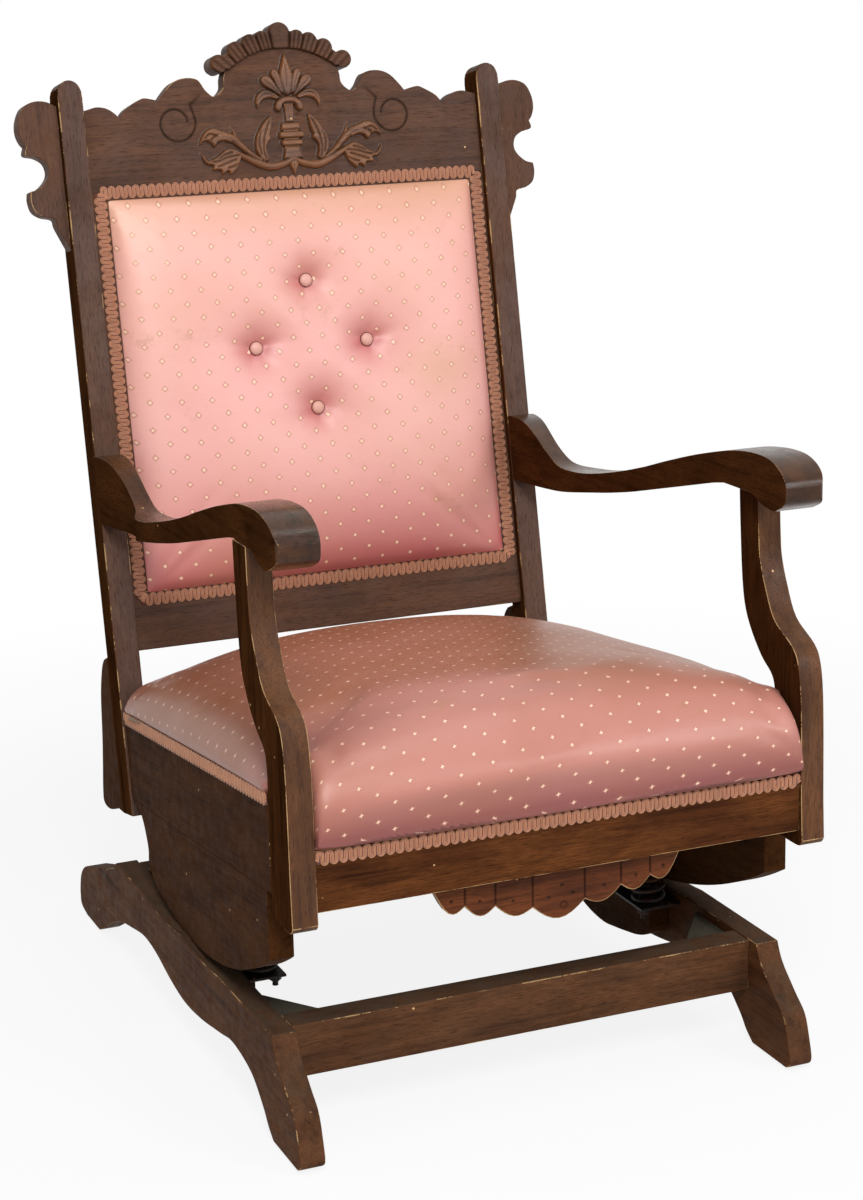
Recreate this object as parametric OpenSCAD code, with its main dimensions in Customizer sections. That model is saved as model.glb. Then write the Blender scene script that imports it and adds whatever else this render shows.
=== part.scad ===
// Platform rocker: an upholstered chair on two curved rockers that roll on a
// fixed base and are held by two pairs of coil springs.
// +Z is up, the sitter faces -Y, the floor is Z = 0 and the chair's middle is X = 0.

/* [Base] */
// Length of each base side board, from toe to rear foot
base_len = 776; // [740:1:820]
// Height of each base side board
base_board_h = 114; // [104:1:124]
// Thickness of each base side board
base_board_t = 26; // [22:0.5:30]
// Distance from the toes back to the line on which the chair rocks
toe_reach = 360; // [345:1:375]
// How far the base sides stand outside the rockers at the rocking line
base_step = 7.3; // [4:0.1:10]
// Height of the glides under the feet
glide_h = 3; // [2:0.5:5]
// Diameter of the glides
glide_d = 20; // [14:1:24]
// Thickness of the front and rear stretchers
stretcher_t = 33; // [24:1:38]
// Height of the front and rear stretchers
stretcher_h = 55; // [45:1:60]
// Length of a corner block along the side board
block_along = 85; // [60:1:100]
// Length of a corner block along the stretcher
block_across = 60; // [45:1:80]
// Thickness of a corner block
block_t = 22; // [16:1:28]

/* [Rockers] */
// Radius of the rockers' rolling edge
rocker_r = 590; // [560:5:640]
// Thickness of each rocker and side rail
rocker_t = 26; // [22:0.5:30]
// Angle that the chair leans back from rest
lean_back = 7; // [5:0.5:8]
// Angle that the chair tips forward from rest
lean_fore = 6; // [4:0.5:7]
// Clearance between the rolling edges and the base
roll_gap = 0.35; // [0.2:0.05:0.6]

/* [Springs] */
// Outer diameter of each coil spring
spring_d = 38; // [32:1:40]
// Diameter of the spring wire
spring_wire = 5; // [4:0.5:5.5]
// Turns in each spring
spring_turns = 4; // [3:1:5]
// Distance between the two springs of a pair
spring_pitch = 60; // [52:1:70]
// Height of each spring at rest
spring_h = 47; // [42:1:54]
// Thickness of the iron spring plates
plate_t = 3; // [2:0.5:4]
// Thickness of the wooden cleats that carry the springs
cleat_t = 24; // [20:1:28]

/* [Seat frame] */
// Width over the seat frame at its front end
seat_front_w = 566; // [540:1:600]
// Width over the seat frame at its rear end
seat_rear_w = 530; // [505:1:560]
// Fall of the seat from front to rear
seat_tilt = 7.5; // [6:0.1:9]
// Height of the rockers' top edge above the base, at the middle of the chair
seam_rise = 111; // [100:1:125]
// Height of the side rails
rail_h = 97; // [85:1:110]
// Height of the front rail
front_rail_h = 61; // [50:1:70]
// Thickness of the front rail
front_rail_t = 28; // [22:1:34]
// Depth of the scalloped apron below the front rail
apron_drop = 55; // [40:1:65]
// Thickness of the apron
apron_t = 9; // [6:0.5:14]
// Half the width of the apron
apron_half = 134; // [115:1:160]
// Width of the braid that covers the tacked edges
gimp_w = 15; // [12:0.5:18]
// Thickness of the braid
gimp_t = 3; // [2:0.5:4]

/* [Posts and arms] */
// Distance from the rocking line forward to the front of the front posts
front_reach = 372; // [350:1:390]
// Thickness of each front post
front_post_t = 26; // [22:0.5:30]
// Width in side view of the lower part of each front post
front_post_w = 56; // [50:1:64]
// Height of the arm tops above the side rails at the front
arm_rise = 270; // [240:1:300]
// Fall of each arm from its front top to its lowest point
arm_drop = 131; // [110:1:150]
// Widest reach of each arm outward from its inner edge
arm_w = 44; // [38:1:54]

/* [Back] */
// Rake of the back from upright
back_rake = 10.7; // [8:0.1:13]
// Distance from the rocking line back to the face of the back, at floor level
back_reach = 182.5; // [170:0.5:195]
// Width of each back post in front view
back_post_w = 28.5; // [24:0.5:34]
// Depth of each back post
back_post_d = 38; // [32:1:46]
// How far the back posts stand in front of the crest
post_proud = 8; // [4:0.5:12]
// Gap between the side rails' top and the lower back rail
back_gap = 67; // [62:0.5:80]
// Height of the lower back rail
lower_rail_h = 66.5; // [60:0.5:80]
// Thickness of the lower back rail and the stiles
lower_rail_t = 20; // [16:1:26]
// Height of the upholstered panel of the back, over its braid
panel_h = 473.5; // [430:0.5:520]
// Height of the post tops above the upholstered panel
post_rise = 118.5; // [105:0.5:130]
// Thickness of the crest rail
crest_t = 22; // [18:1:28]
// Width of each ear outside its post
ear_w = 46; // [38:1:52]
// Height of each ear
ear_h = 167; // [150:1:185]
// Height of the fan above the crest rail's top edge
fan_h = 27; // [20:1:32]
// How far the fan stands in front of the crest rail
fan_proud = 7; // [4:0.5:10]

/* [Upholstery] */
// Crown of the back pad in front of the crest rail
pad_crown = 27; // [20:1:34]
// Diameter of the covered buttons
button_d = 16; // [13:0.5:20]
// Depth to which the buttons pull the pad in
tuft_depth = 15; // [8:1:18]
// Crown of the seat cushion above the side rails at its middle
seat_crown = 76; // [60:1:90]
// Crown of the seat cushion at its sides
seat_edge = 46; // [36:1:56]
// How far the front roll of the seat stands in front of the front rail
roll_reach = 11; // [6:1:16]
// Width of a webbing strap
strap_w = 50; // [40:1:60]
// Thickness of the webbing straps and of the cloth below the seat
strap_t = 1.5; // [1:0.1:2]

/* [Hidden] */

// Sides and steps of round and curved faces
round_fn = 64;
roll_fn = 360;
curve_steps = 5;
// Extra length of every cutting shape
over = 2;
// Clearance round soft pieces and between loose neighbours
fit = 0.3;

// Heights and places that several pieces share
rock_y = -19;
base_top = glide_h + base_board_h;
toe_y = rock_y - toe_reach;
front_y = rock_y - front_reach;
rear_rail_reach = 43;
nose_setback = 73;
back_floor_y = rock_y + back_reach;
seat_rear_y = back_floor_y + rear_rail_reach;
seat_nose_y = front_y + nose_setback;
seam_z = base_top + seam_rise;
front_half = seat_front_w / 2;
rear_half = seat_rear_w / 2;
taper_share = (front_half - rear_half) / (seat_rear_y - seat_nose_y);

// Outer face of the seat frame at a depth y, its seam with the rockers and its top
function side_x(y) = rear_half + (seat_rear_y - y) * taper_share;
function seam_at(y) = seam_z - y * tan(seat_tilt);
function rail_top(y) = seam_at(y) + rail_h / cos(seat_tilt);
function post_face_y(z) = back_floor_y + z * tan(back_rake) - post_proud / cos(back_rake);
function back_y(z, d = 0) = back_floor_y + z * tan(back_rake) + d / cos(back_rake);

base_out = side_x(rock_y) + base_step;
base_in = base_out - base_board_t;
post_front_out = side_x(front_y + front_post_w) - fit;
post_front_in = post_front_out - front_post_t;
post_back_y = front_y + front_post_w;

// Front rail, set below the side rails' top so that the seat rolls over it
front_rail_drop = 43.5;
front_rail_setback = 5;
front_rail_y = front_y + front_rail_setback;
front_rail_top = rail_top(post_back_y) - front_rail_drop;
front_rail_low = front_rail_top - front_rail_h;

// Back: lengths measured up the raked face from floor level
post_overhang = 3;
panel_margin = 7;
panel_lap = 17;
crest_lap = 24;
back_half = rear_half + post_overhang;
span_half = back_half - back_post_w;
function tilt_meets_back(h) = (seam_z + h / cos(seat_tilt) - back_floor_y * tan(seat_tilt))
    / (cos(back_rake) + sin(back_rake) * tan(seat_tilt));
seam_t = tilt_meets_back(0);
rail_top_t = tilt_meets_back(rail_h);
lower_rail_t0 = rail_top_t + back_gap;
panel_t0 = lower_rail_t0 + lower_rail_h - panel_lap;
panel_t1 = panel_t0 + panel_h;
panel_half = span_half - panel_margin;
post_top_t = panel_t1 + post_rise;
crest_low_t = panel_t1 - crest_lap;

// Arms: their tops, and the flat below them that the front posts carry
arm_top = rail_top(post_back_y) + arm_rise;
arm_seat_share = 0.687;
arm_in = span_half + fit;

// A smooth run through hand-chosen points
function catmull(a, b, c, d, u) =
    0.5 * (2 * b + (c - a) * u + (2 * a - 5 * b + 4 * c - d) * u * u + (3 * b - a - 3 * c + d) * u * u * u);
function curve(p, n = curve_steps) =
    let (m = len(p) - 1)
    concat(
        [for (i = [0 : m - 1], k = [0 : n - 1])
            catmull(p[max(i - 1, 0)], p[i], p[i + 1], p[min(i + 2, m)], k / n)],
        [p[m]]
    );
// A closed outline from runs that each start where the last one ends
function outline(runs) = [for (r = runs, i = [0 : len(r) - 2]) r[i]];
// Points given as shares of a width and a height from a corner
function spread(shares, corner, w, h) = [for (s = shares) [corner[0] + s[0] * w, corner[1] + s[1] * h]];
function flip_x(p) = [for (i = [len(p) - 1 : -1 : 0]) [-p[i][0], p[i][1]]];
function flat_run(a, b) = [a, b];

// The right-hand piece, or its mirror image on the left
module on_side(side) {
    if (side == "right") {
        children();
    } else {
        mirror([1, 0, 0]) children();
    }
}

// A profile drawn in Y and Z, extruded along X between two faces
module side_slab(x0, x1) {
    translate([x0, 0, 0]) rotate([90, 0, 90]) linear_extrude(x1 - x0) children();
}

// A profile drawn in X and the length up the back, extruded through a depth
module face_slab(front, t) {
    translate([0, front + t, 0]) rotate([90, 0, 0]) linear_extrude(t) children();
}

// The frame of the raked back, whose front face is Y = 0
module back_frame() {
    translate([0, back_floor_y, 0]) rotate([-back_rake, 0, 0]) children();
}

// A wall of the tapered seat frame, between two depths in from its outer face
module tapered_wall(out, in) {
    y0 = front_y - over;
    y1 = back_floor_y + back_post_d * 4;
    linear_extrude(rail_top(front_y) + arm_rise)
        polygon([
            [side_x(y0) - in, y0], [side_x(y0) - out, y0],
            [side_x(y1) - out, y1], [side_x(y1) - in, y1]
        ]);
}

// Base side board: toe and heel feet, arched underside and two rolling hollows
toe_shares = [[0.0915, 1], [0.078, 0.83], [0.044, 0.62], [0.018, 0.47], [0.005, 0.24], [0, 0.07], [0.012, 0]];
arch_shares = [
    [0.1, 0], [0.118, 0.09], [0.138, 0.23], [0.18, 0.42], [0.249, 0.5], [0.305, 0.445], [0.387, 0.36],
    [0.46, 0.335], [0.527, 0.4], [0.588, 0.5], [0.647, 0.535], [0.715, 0.465], [0.772, 0.386],
    [0.83, 0.235], [0.87, 0.09], [0.897, 0]
];
heel_shares = [
    [0.965, 0], [0.995, 0.05], [1, 0.15], [0.998, 0.27], [0.988, 0.42], [0.965, 0.544],
    [0.92, 0.645], [0.878, 0.73], [0.794, 0.917]
];
heel_step_share = 0.781;

function base_outline() =
    let (
        at = [toe_y, glide_h],
        toe = curve(spread(toe_shares, at, base_len, base_board_h)),
        arch = curve(spread(arch_shares, at, base_len, base_board_h)),
        heel = curve(spread(heel_shares, at, base_len, base_board_h)),
        step = [toe_y + heel_step_share * base_len, base_top]
    )
    outline([toe, flat_run([toe_y + toe_shares[6][0] * base_len, glide_h], arch[0]), arch,
        flat_run(arch[len(arch) - 1], heel[0]), heel, [heel[len(heel) - 1], step, toe[0]]]);

// Room swept by the rolling edges, from a circle at each end of the travel
module rolling_room(x0, x1) {
    for (a = [lean_back, -lean_fore]) {
        translate([x0, rock_y + rocker_r * sin(a), base_top + rocker_r * cos(a)])
            rotate([0, 90, 0]) cylinder(h = x1 - x0, r = rocker_r + roll_gap, $fn = roll_fn);
    }
}

module base_side(side) {
    color("#5d4a3c") on_side(side) difference() {
        side_slab(base_in, base_out) polygon(base_outline());
        rolling_room(base_in - over, base_out + over);
    }
}

// Stretchers between the base sides
front_stretcher_share = 0.11;
rear_stretcher_share = 0.731;
stretcher_drop = 1;

module stretcher(share) {
    color("#4c382b") translate([-base_in, toe_y + share * base_len, base_top - stretcher_drop - stretcher_h])
        cube([2 * base_in, stretcher_t, stretcher_h]);
}

// Triangular blocks in the corners of the base
block_drop = 10;

module corner_block(side, end) {
    y = end == "front" ? toe_y + front_stretcher_share * base_len + stretcher_t
                       : toe_y + rear_stretcher_share * base_len;
    dir = end == "front" ? 1 : -1;
    color("#6f6a5e") on_side(side) translate([0, 0, base_top - block_drop - block_t]) linear_extrude(block_t)
        polygon([[base_in, y], [base_in, y + dir * block_along], [base_in - block_across, y]]);
}

// Domed glides under the four feet
toe_glide_share = 0.05;
heel_glide_share = 0.95;

module glides() {
    color("#b9b5ab") for (s = [-1, 1], share = [toe_glide_share, heel_glide_share]) {
        translate([s * (base_out - base_board_t / 2), toe_y + share * base_len, 0])
            rotate_extrude($fn = round_fn) polygon(concat(
                [[0, glide_h], [0, 0], [glide_d / 4, 0]],
                [for (k = [1 : 5]) [glide_d / 4 * (1 + sin(k * 18)), glide_h * (1 - cos(k * 18))]]
            ));
    }
}

// Cleats inside the base sides, with a bellied lower edge, that carry the springs
cleat_front_gap = 60;
cleat_y0 = toe_y + front_stretcher_share * base_len + stretcher_t + block_along + cleat_front_gap;
cleat_end_gap = 7.3;
cleat_y1 = toe_y + rear_stretcher_share * base_len - block_along - cleat_end_gap;
cleat_drop = 14;
cleat_h = 66;
cleat_shares = [
    [0, 0.52], [0.035, 0.36], [0.14, 0.22], [0.29, 0.12], [0.42, 0.05], [0.54, 0], [0.69, 0.03],
    [0.82, 0.13], [0.94, 0.34], [1, 0.6]
];
cleat_top = base_top - cleat_drop;

module spring_cleat(side) {
    belly = curve(spread(cleat_shares, [cleat_y0, cleat_top - cleat_h], cleat_y1 - cleat_y0, cleat_h));
    color("#4a3729") on_side(side) side_slab(base_in - cleat_t, base_in)
        polygon(concat(belly, [[cleat_y1, cleat_top], [cleat_y0, cleat_top]]));
}

// Iron plates below and above each pair of springs
spring_bottom = cleat_top + plate_t;
spring_top = spring_bottom + spring_h;
plate_overhang = 28;
plate_y0 = cleat_y0 - plate_overhang;
plate_len = spring_pitch + spring_d * 1.25;
plate_half = spring_d / 2 + plate_t / 2;
spring_y = plate_y0 + plate_len / 2;
spring_axis_x = side_x(spring_y) - rocker_t - spring_d / 2 - 4 * fit - plate_t;

module spring_plate_lower(side) {
    color("#4b3a34") on_side(side)
        translate([spring_axis_x - plate_half, plate_y0, cleat_top])
            cube([base_in - spring_axis_x + plate_half, plate_len, plate_t]);
}

// The upper plate is an angle, screwed to the rocker's inner face
flange_h = 34;

module spring_plate_upper(side) {
    reach = side_x(spring_y) - rocker_t - spring_axis_x + plate_half;
    color("#4b3a34") on_side(side) {
        intersection() {
            tapered_wall(rocker_t, rocker_t + reach);
            side_slab(0, base_out) translate([plate_y0, spring_top]) square([plate_len, plate_t]);
        }
        intersection() {
            tapered_wall(rocker_t, rocker_t + plate_t);
            side_slab(0, base_out) translate([plate_y0, spring_top + plate_t]) square([plate_len, flange_h]);
        }
    }
}

// Coil spring: straight ends one wire thick and a steady helix between them
rings_per_turn = 8;
wire_sides = 6;
coil_r = (spring_d - spring_wire) / 2;
coil_rings = spring_turns * rings_per_turn;
coil_rise = spring_h - 2 * spring_wire;

function coil_point(k) = [
    coil_r * cos(k * 360 / rings_per_turn),
    coil_r * sin(k * 360 / rings_per_turn),
    spring_wire + coil_rise * k / coil_rings
];
coil_path = concat([[coil_r, 0, 0]], [for (k = [0 : coil_rings]) coil_point(k)], [[coil_r, 0, spring_h]]);
coil_turned = concat([0], [for (k = [0 : coil_rings]) k * 360 / rings_per_turn], [0]);
coil_gap = min([for (i = [0 : len(coil_path) - 1], j = [i + 6 : 1 : len(coil_path) - 1])
    norm(coil_path[i] - coil_path[j])]) - spring_wire;
echo(least_gap_between_spring_turns = coil_gap);

function unit(v) = v / norm(v);

// One closed skin over rings of points, with a fan of triangles at each end
module skin(rings) {
    n = len(rings[0]);
    m = len(rings);
    points = concat([for (r = rings, p = r) p], [middle(rings[0]), middle(rings[m - 1])]);
    walls = [for (j = [0 : m - 2], i = [0 : n - 1], half = [0, 1])
        let (a = j * n + i, b = j * n + (i + 1) % n)
        half == 0 ? [a, b, b + n] : [a, b + n, a + n]];
    start_cap = [for (i = [0 : n - 1]) [n * m, (i + 1) % n, i]];
    end_cap = [for (i = [0 : n - 1]) [n * m + 1, (m - 1) * n + i, (m - 1) * n + (i + 1) % n]];
    polyhedron(points, concat(walls, start_cap, end_cap));
}
// A skin whose end caps are strips between the first and the second half of each ring
module strip_skin(rings) {
    n = len(rings[0]);
    m = len(rings);
    walls = [for (j = [0 : m - 2], i = [0 : n - 1], half = [0, 1])
        let (a = j * n + i, b = j * n + (i + 1) % n)
        half == 0 ? [a, b, b + n] : [a, b + n, a + n]];
    caps = [for (i = [0 : n / 2 - 2], half = [0, 1])
        half == 0 ? [i, n - 1 - i, n - 2 - i] : [i, n - 2 - i, i + 1]];
    polyhedron([for (r = rings, p = r) p], concat(
        walls, caps, [for (c = caps) [for (k = [2 : -1 : 0]) (m - 1) * n + c[k]]]
    ));
}
function middle(ring) = [for (k = [0 : 2]) add([for (p = ring) p[k]]) / len(ring)];
function add(v) = [for (p = v) 1] * v;

module coil_spring() {
    last = len(coil_path) - 1;
    skin([for (k = [0 : last])
        let (
            along = k == 0 || k == last ? [0, 0, 1] : unit(coil_path[k + 1] - coil_path[k - 1]),
            out = [cos(coil_turned[k]), sin(coil_turned[k]), 0],
            across = cross(along, out)
        )
        [for (i = [0 : wire_sides - 1])
            coil_path[k] + spring_wire / 2 * (out * cos(i * 360 / wire_sides) - across * sin(i * 360 / wire_sides))]
    ]);
}

module rocker_spring(side, end) {
    y = spring_y + (end == "front" ? -spring_pitch / 2 : spring_pitch / 2);
    color("#3b3432") on_side(side) translate([spring_axis_x, y, spring_bottom]) coil_spring();
}

// Rocker: straight top on the seat's tilt, rolling edge below and a scooped tail
rocker_tail_y = 198;
tail_shares = [[0.62, 0.02], [0.73, 0.15], [0.76, 0.28], [0.755, 0.42], [0.775, 0.56], [0.84, 0.79], [0.92, 0.93], [1, 1]];

module rocker(side) {
    y0 = seat_nose_y;
    y1 = rock_y + rocker_tail_y;
    tail = curve(spread(tail_shares, [rock_y, base_top + rocker_r * (1 - cos(asin(0.2)))],
        rocker_tail_y, seam_at(y1) - base_top - rocker_r * (1 - cos(asin(0.2)))));
    color("#5a3d2a") on_side(side) intersection() {
        tapered_wall(0, rocker_t);
        side_slab(0, base_out + over) polygon(concat(
            [[y0, seam_at(y0)], [y0, base_top - over], [rock_y + tail_shares[0][0] * rocker_tail_y, base_top - over]],
            tail
        ));
        translate([0, rock_y, base_top + rocker_r]) rotate([0, 90, 0])
            cylinder(h = base_out + over, r = rocker_r, $fn = roll_fn);
    }
}

// Side rail: from the front post's back edge to the raked face of the back post
module side_rail(side) {
    y0 = post_back_y;
    low = (seam_z - post_face_y(0) * tan(seat_tilt)) / (1 + tan(back_rake) * tan(seat_tilt));
    high = (seam_z + rail_h / cos(seat_tilt) - post_face_y(0) * tan(seat_tilt)) / (1 + tan(back_rake) * tan(seat_tilt));
    color("#5a3d2a") on_side(side) intersection() {
        tapered_wall(0, rocker_t);
        side_slab(0, base_out + over + rocker_t) polygon([
            [y0, seam_at(y0)], [post_face_y(low), low], [post_face_y(high), high], [y0, rail_top(y0)]
        ]);
    }
}

// Front rail between the front posts, and the scalloped apron below it

module front_rail() {
    color("#5b4030") translate([-post_front_in, front_rail_y, front_rail_low])
        cube([2 * post_front_in, front_rail_t, front_rail_h]);
}

lobe_shares = [[0, 0.73], [0.21, 0.73], [0.505, 0.58], [0.745, 0.49], [1, 0.04]];
lobe_sag_shares = [0.28, 0.17, 0.18, 0.3];
lobe_steps = 8;

function lobe(a, b, sag) = [for (k = [0 : lobe_steps])
    a + (b - a) * k / lobe_steps - [0, sag * sin(180 * k / lobe_steps)]];

function apron_right() =
    let (p = [for (s = lobe_shares) [s[0] * apron_half, -s[1] * apron_drop]])
    outline(concat(
        [[for (k = [lobe_steps / 2 : lobe_steps]) lobe([-p[1][0], p[1][1]], p[1], lobe_sag_shares[0] * apron_drop)[k]]],
        [for (i = [1 : 3]) lobe(p[i], p[i + 1], lobe_sag_shares[i] * apron_drop)],
        [flat_run(p[4], [apron_half, 0])]
    ));

module apron() {
    right = apron_right();
    color("#6a3f28") translate([0, front_rail_y + front_rail_t, front_rail_low]) rotate([90, 0, 0])
        linear_extrude(apron_t) polygon(concat(right, [[apron_half, 0], [-apron_half, 0]],
            [for (i = [len(right) - 1 : -1 : 1]) [-right[i][0], right[i][1]]]));
}

// Rear rail below the back, between the back posts
rear_rail_t = 22;

module rear_rail() {
    t0 = seam_t + 2 * strap_t;
    color("#4c382b") back_frame() face_slab(0, rear_rail_t)
        translate([-span_half, t0]) square([2 * span_half, rail_top_t - t0]);
}

// Blocks glued into the inner corners of the seat frame
seat_block = 48;
seat_block_t = 30;
seat_block_drop = 12;

module seat_corner_blocks() {
    yf = front_rail_y + front_rail_t;
    yr = back_y(seam_at(seat_rear_y) + seat_block_drop + seat_block_t);
    color("#6b5138") for (side = ["left", "right"]) on_side(side) {
        translate([0, 0, front_rail_low + seat_block_drop]) linear_extrude(seat_block_t)
            polygon([[post_front_in, yf], [post_front_in - seat_block, yf], [post_front_in, post_back_y]]);
        difference() {
            translate([0, 0, seam_at(seat_rear_y) + seat_block_drop]) linear_extrude(seat_block_t) polygon([
                [side_x(yr) - rocker_t, yr], [side_x(yr) - rocker_t - seat_block, yr],
                [side_x(yr - seat_block) - rocker_t, yr - seat_block]
            ]);
            back_frame() translate([0, 0, seam_t]) cube([front_half, rear_rail_t, rail_h]);
        }
    }
}

// Webbing that carries the seat, and the cloth that closes it below
strap_rows = 4;
strap_columns = 4;

module on_seat_plane(rise) {
    translate([0, 0, seam_z + rise / cos(seat_tilt)]) rotate([-seat_tilt, 0, 0]) children();
}

module seat_webbing() {
    y0 = (post_back_y + strap_w) / cos(seat_tilt);
    y1 = (back_y(seam_z) - strap_w) / cos(seat_tilt);
    step = (y1 - y0) / (strap_rows - 1);
    color("#9a8a6a") on_seat_plane(rail_h) {
        for (k = [0 : strap_rows - 1]) {
            half = side_x(y0 + k * step + strap_w) - 2 * gimp_t;
            translate([-half, y0 + k * step - strap_w / 2, 0]) cube([2 * half, strap_w, strap_t]);
        }
        for (k = [0 : strap_columns - 1]) {
            x = (k - (strap_columns - 1) / 2) * 2 * strap_w;
            translate([x - strap_w / 2, y0 - strap_w / 2, -strap_t]) cube([strap_w, y1 - y0 + strap_w, strap_t]);
        }
    }
}

module dust_cover() {
    y0 = front_rail_y + front_rail_t + fit;
    y1 = back_y(seam_z) - fit;
    color("#2b2826") on_seat_plane(0) linear_extrude(strap_t) polygon([
        [-post_front_in + fit, y0], [post_front_in - fit, y0], [post_front_in - fit, post_back_y],
        [side_x(post_back_y) - rocker_t - fit, post_back_y + fit], [side_x(y1) - rocker_t - fit, y1],
        [-side_x(y1) + rocker_t + fit, y1], [-side_x(post_back_y) + rocker_t + fit, post_back_y + fit],
        [-post_front_in + fit, post_back_y]
    ]);
}

// Front post: a square lower part and an S-curved arm support
post_low_drop = 17;
post_top_z = arm_top - arm_drop + arm_seat_share * arm_drop;
post_low_z = front_rail_low - post_low_drop;
post_front_shares = [
    [1.66, 1], [1.66, 0.965], [1.625, 0.86], [1.57, 0.795], [1.38, 0.72], [1.05, 0.635], [0.42, 0.58],
    [0.2, 0.53], [0.1, 0.44], [0.06, 0.3], [0.04, 0.15], [0, 0.02]
];
post_rear_shares = [
    [1, 0.37], [1.01, 0.42], [1.12, 0.468], [1.5, 0.51], [1.88, 0.575], [2.11, 0.64],
    [2.22, 0.725], [2.29, 0.855], [2.33, 0.965], [2.33, 1]
];

post_toe_shares = [[0, 0.02], [0.12, 0.002], [0.5, 0], [0.85, 0.004], [1, 0.025]];

module front_post(side) {
    at = [front_y, post_low_z];
    tall = post_top_z - post_low_z;
    front = curve(spread(post_front_shares, at, front_post_w, tall));
    rear = curve(spread(post_rear_shares, at, front_post_w, tall));
    toe = curve(spread(post_toe_shares, at, front_post_w, tall));
    color("#5b4030") on_side(side) side_slab(post_front_in, post_front_out) polygon(outline([
        front, toe, flat_run(toe[len(toe) - 1], rear[0]), rear, flat_run(rear[len(rear) - 1], front[0])
    ]));
}

// Arm: a sweeping side profile within a waisted plan
arm_front_y = front_y + 9;
arm_len = post_face_y(arm_top - arm_drop / 2) - arm_front_y;
arm_top_shares = [
    [1.01, 0.557], [0.985, 0.585], [0.935, 0.573], [0.888, 0.496], [0.842, 0.389], [0.797, 0.305],
    [0.752, 0.29], [0.675, 0.328], [0.57, 0.435], [0.468, 0.565], [0.38, 0.695], [0.287, 0.824],
    [0.198, 0.93], [0.147, 0.977], [0.096, 1], [0.054, 0.992], [0.022, 0.94], [0.003, 0.855],
    [0, 0.74], [0.008, 0.67], [0.037, 0.603]
];
arm_hook_shares = [[0.037, 0.603], [0.07, 0.626], [0.104, arm_seat_share]];
arm_low_shares = [
    [0.19, arm_seat_share], [0.225, 0.655], [0.269, 0.603], [0.352, 0.504], [0.43, 0.412], [0.508, 0.321], [0.59, 0.237], [0.675, 0.16], [0.775, 0.076],
    [0.855, 0.038], [0.925, 0.015], [0.99, 0]
];
arm_plan_shares = [
    [0, 0.9], [0.015, 1], [0.096, 1], [0.244, 0.91], [0.488, 0.82], [0.69, 0.84], [0.752, 0.727],
    [0.8, 0.5], [0.861, 0.455], [0.923, 0.545], [0.986, 0.66], [1.03, 0.72]
];

module arm(side) {
    top = curve(spread(arm_top_shares, [arm_front_y, arm_top - arm_drop], arm_len, arm_drop));
    hook = curve(spread(arm_hook_shares, [arm_front_y, arm_top - arm_drop], arm_len, arm_drop));
    low = curve(spread(arm_low_shares, [arm_front_y, arm_top - arm_drop], arm_len, arm_drop));
    plan = curve([for (s = arm_plan_shares) [arm_in + s[1] * arm_w, arm_front_y + s[0] * arm_len]]);
    color("#5b4030") on_side(side) difference() {
        intersection() {
            side_slab(0, base_out + arm_w) polygon(outline([
                top, hook, flat_run(hook[len(hook) - 1], low[0]), low, flat_run(low[len(low) - 1], top[0])
            ]));
            linear_extrude(arm_top + arm_drop) polygon(concat(
                plan, [[arm_in, arm_front_y + arm_len * 1.03], [arm_in, arm_front_y]]));
        }
        back_frame() translate([0, -post_proud, 0]) cube([base_out + arm_w, back_post_d * 2, arm_top + arm_drop]);
    }
}

// Back: lengths measured up the raked face from floor level
post_tail = 21;
post_low_t = (seam_at(post_face_y(seam_z)) - post_tail) / cos(back_rake);
dome_share = 0.7;

module back_post(side) {
    w = back_post_w;
    dome = w * dome_share;
    color("#5b4030") back_frame() on_side(side) face_slab(-post_proud, back_post_d)
        polygon(concat(
            [[back_half, post_low_t]],
            [for (k = [0 : 12]) [back_half - w / 2 + w / 2 * cos(k * 15), post_top_t - dome + dome * pow(sin(k * 15), 0.8)]],
            [[back_half - w, post_low_t]]
        ));
}

// Rear leg: a curved piece behind the foot of each back post
leg_reach = 86;
leg_h = 190;
leg_drop = 13;
leg_shares = [
    [0.6, 0.965], [0.72, 0.895], [0.845, 0.72], [0.89, 0.45], [0.94, 0.27], [1, 0.09], [0.965, 0.01],
    [0.7, 0], [0.27, 0.065]
];

module rear_leg(side) {
    back_d = back_post_d - post_proud;
    foot_z = post_low_t * cos(back_rake) - back_d * sin(back_rake);
    z0 = foot_z - leg_drop;
    edge = curve(spread(leg_shares, [back_y(z0, back_d), z0], leg_reach, leg_h));
    color("#5b4030") on_side(side) side_slab(span_half, back_half) polygon(concat(
        [[back_y(z0 + leg_h, back_d), z0 + leg_h]], edge, [[back_y(foot_z, back_d), foot_z]]
    ));
}

// Crest rail: bumps, domes and hooks on each side of a neck that bears the fan
crest_h = post_rise + crest_lap;
crest_shares = [
    [1, 0.758], [0.975, 0.77], [0.93, 0.787], [0.885, 0.775], [0.85, 0.74], [0.822, 0.69]
];
crest_dome_shares = [[0.822, 0.69], [0.79, 0.76], [0.735, 0.815], [0.7, 0.84], [0.66, 0.83], [0.625, 0.815]];
crest_hook_shares = [
    [0.625, 0.815], [0.6, 0.87], [0.56, 0.94], [0.52, 0.975], [0.475, 0.985], [0.435, 0.975],
    [0.415, 0.95], [0.39, 0.88], [0.355, 0.83], [0.325, 0.85], [0.3, 0.9], [0.295, 0.97], [0.285, 1.028]
];
arch_line_shares = [[0.285, 1.028], [0.215, 1.105], [0.115, 1.175], [0, 1.2]];

function crest_point(s) = [s[0] * span_half, crest_low_t + s[1] * crest_h];
function crest_run(shares) = curve([for (s = shares) crest_point(s)]);
function fan_line() = crest_run(concat(arch_line_shares, [for (i = [2 : -1 : 0]) [-arch_line_shares[i][0], arch_line_shares[i][1]]]));

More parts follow.
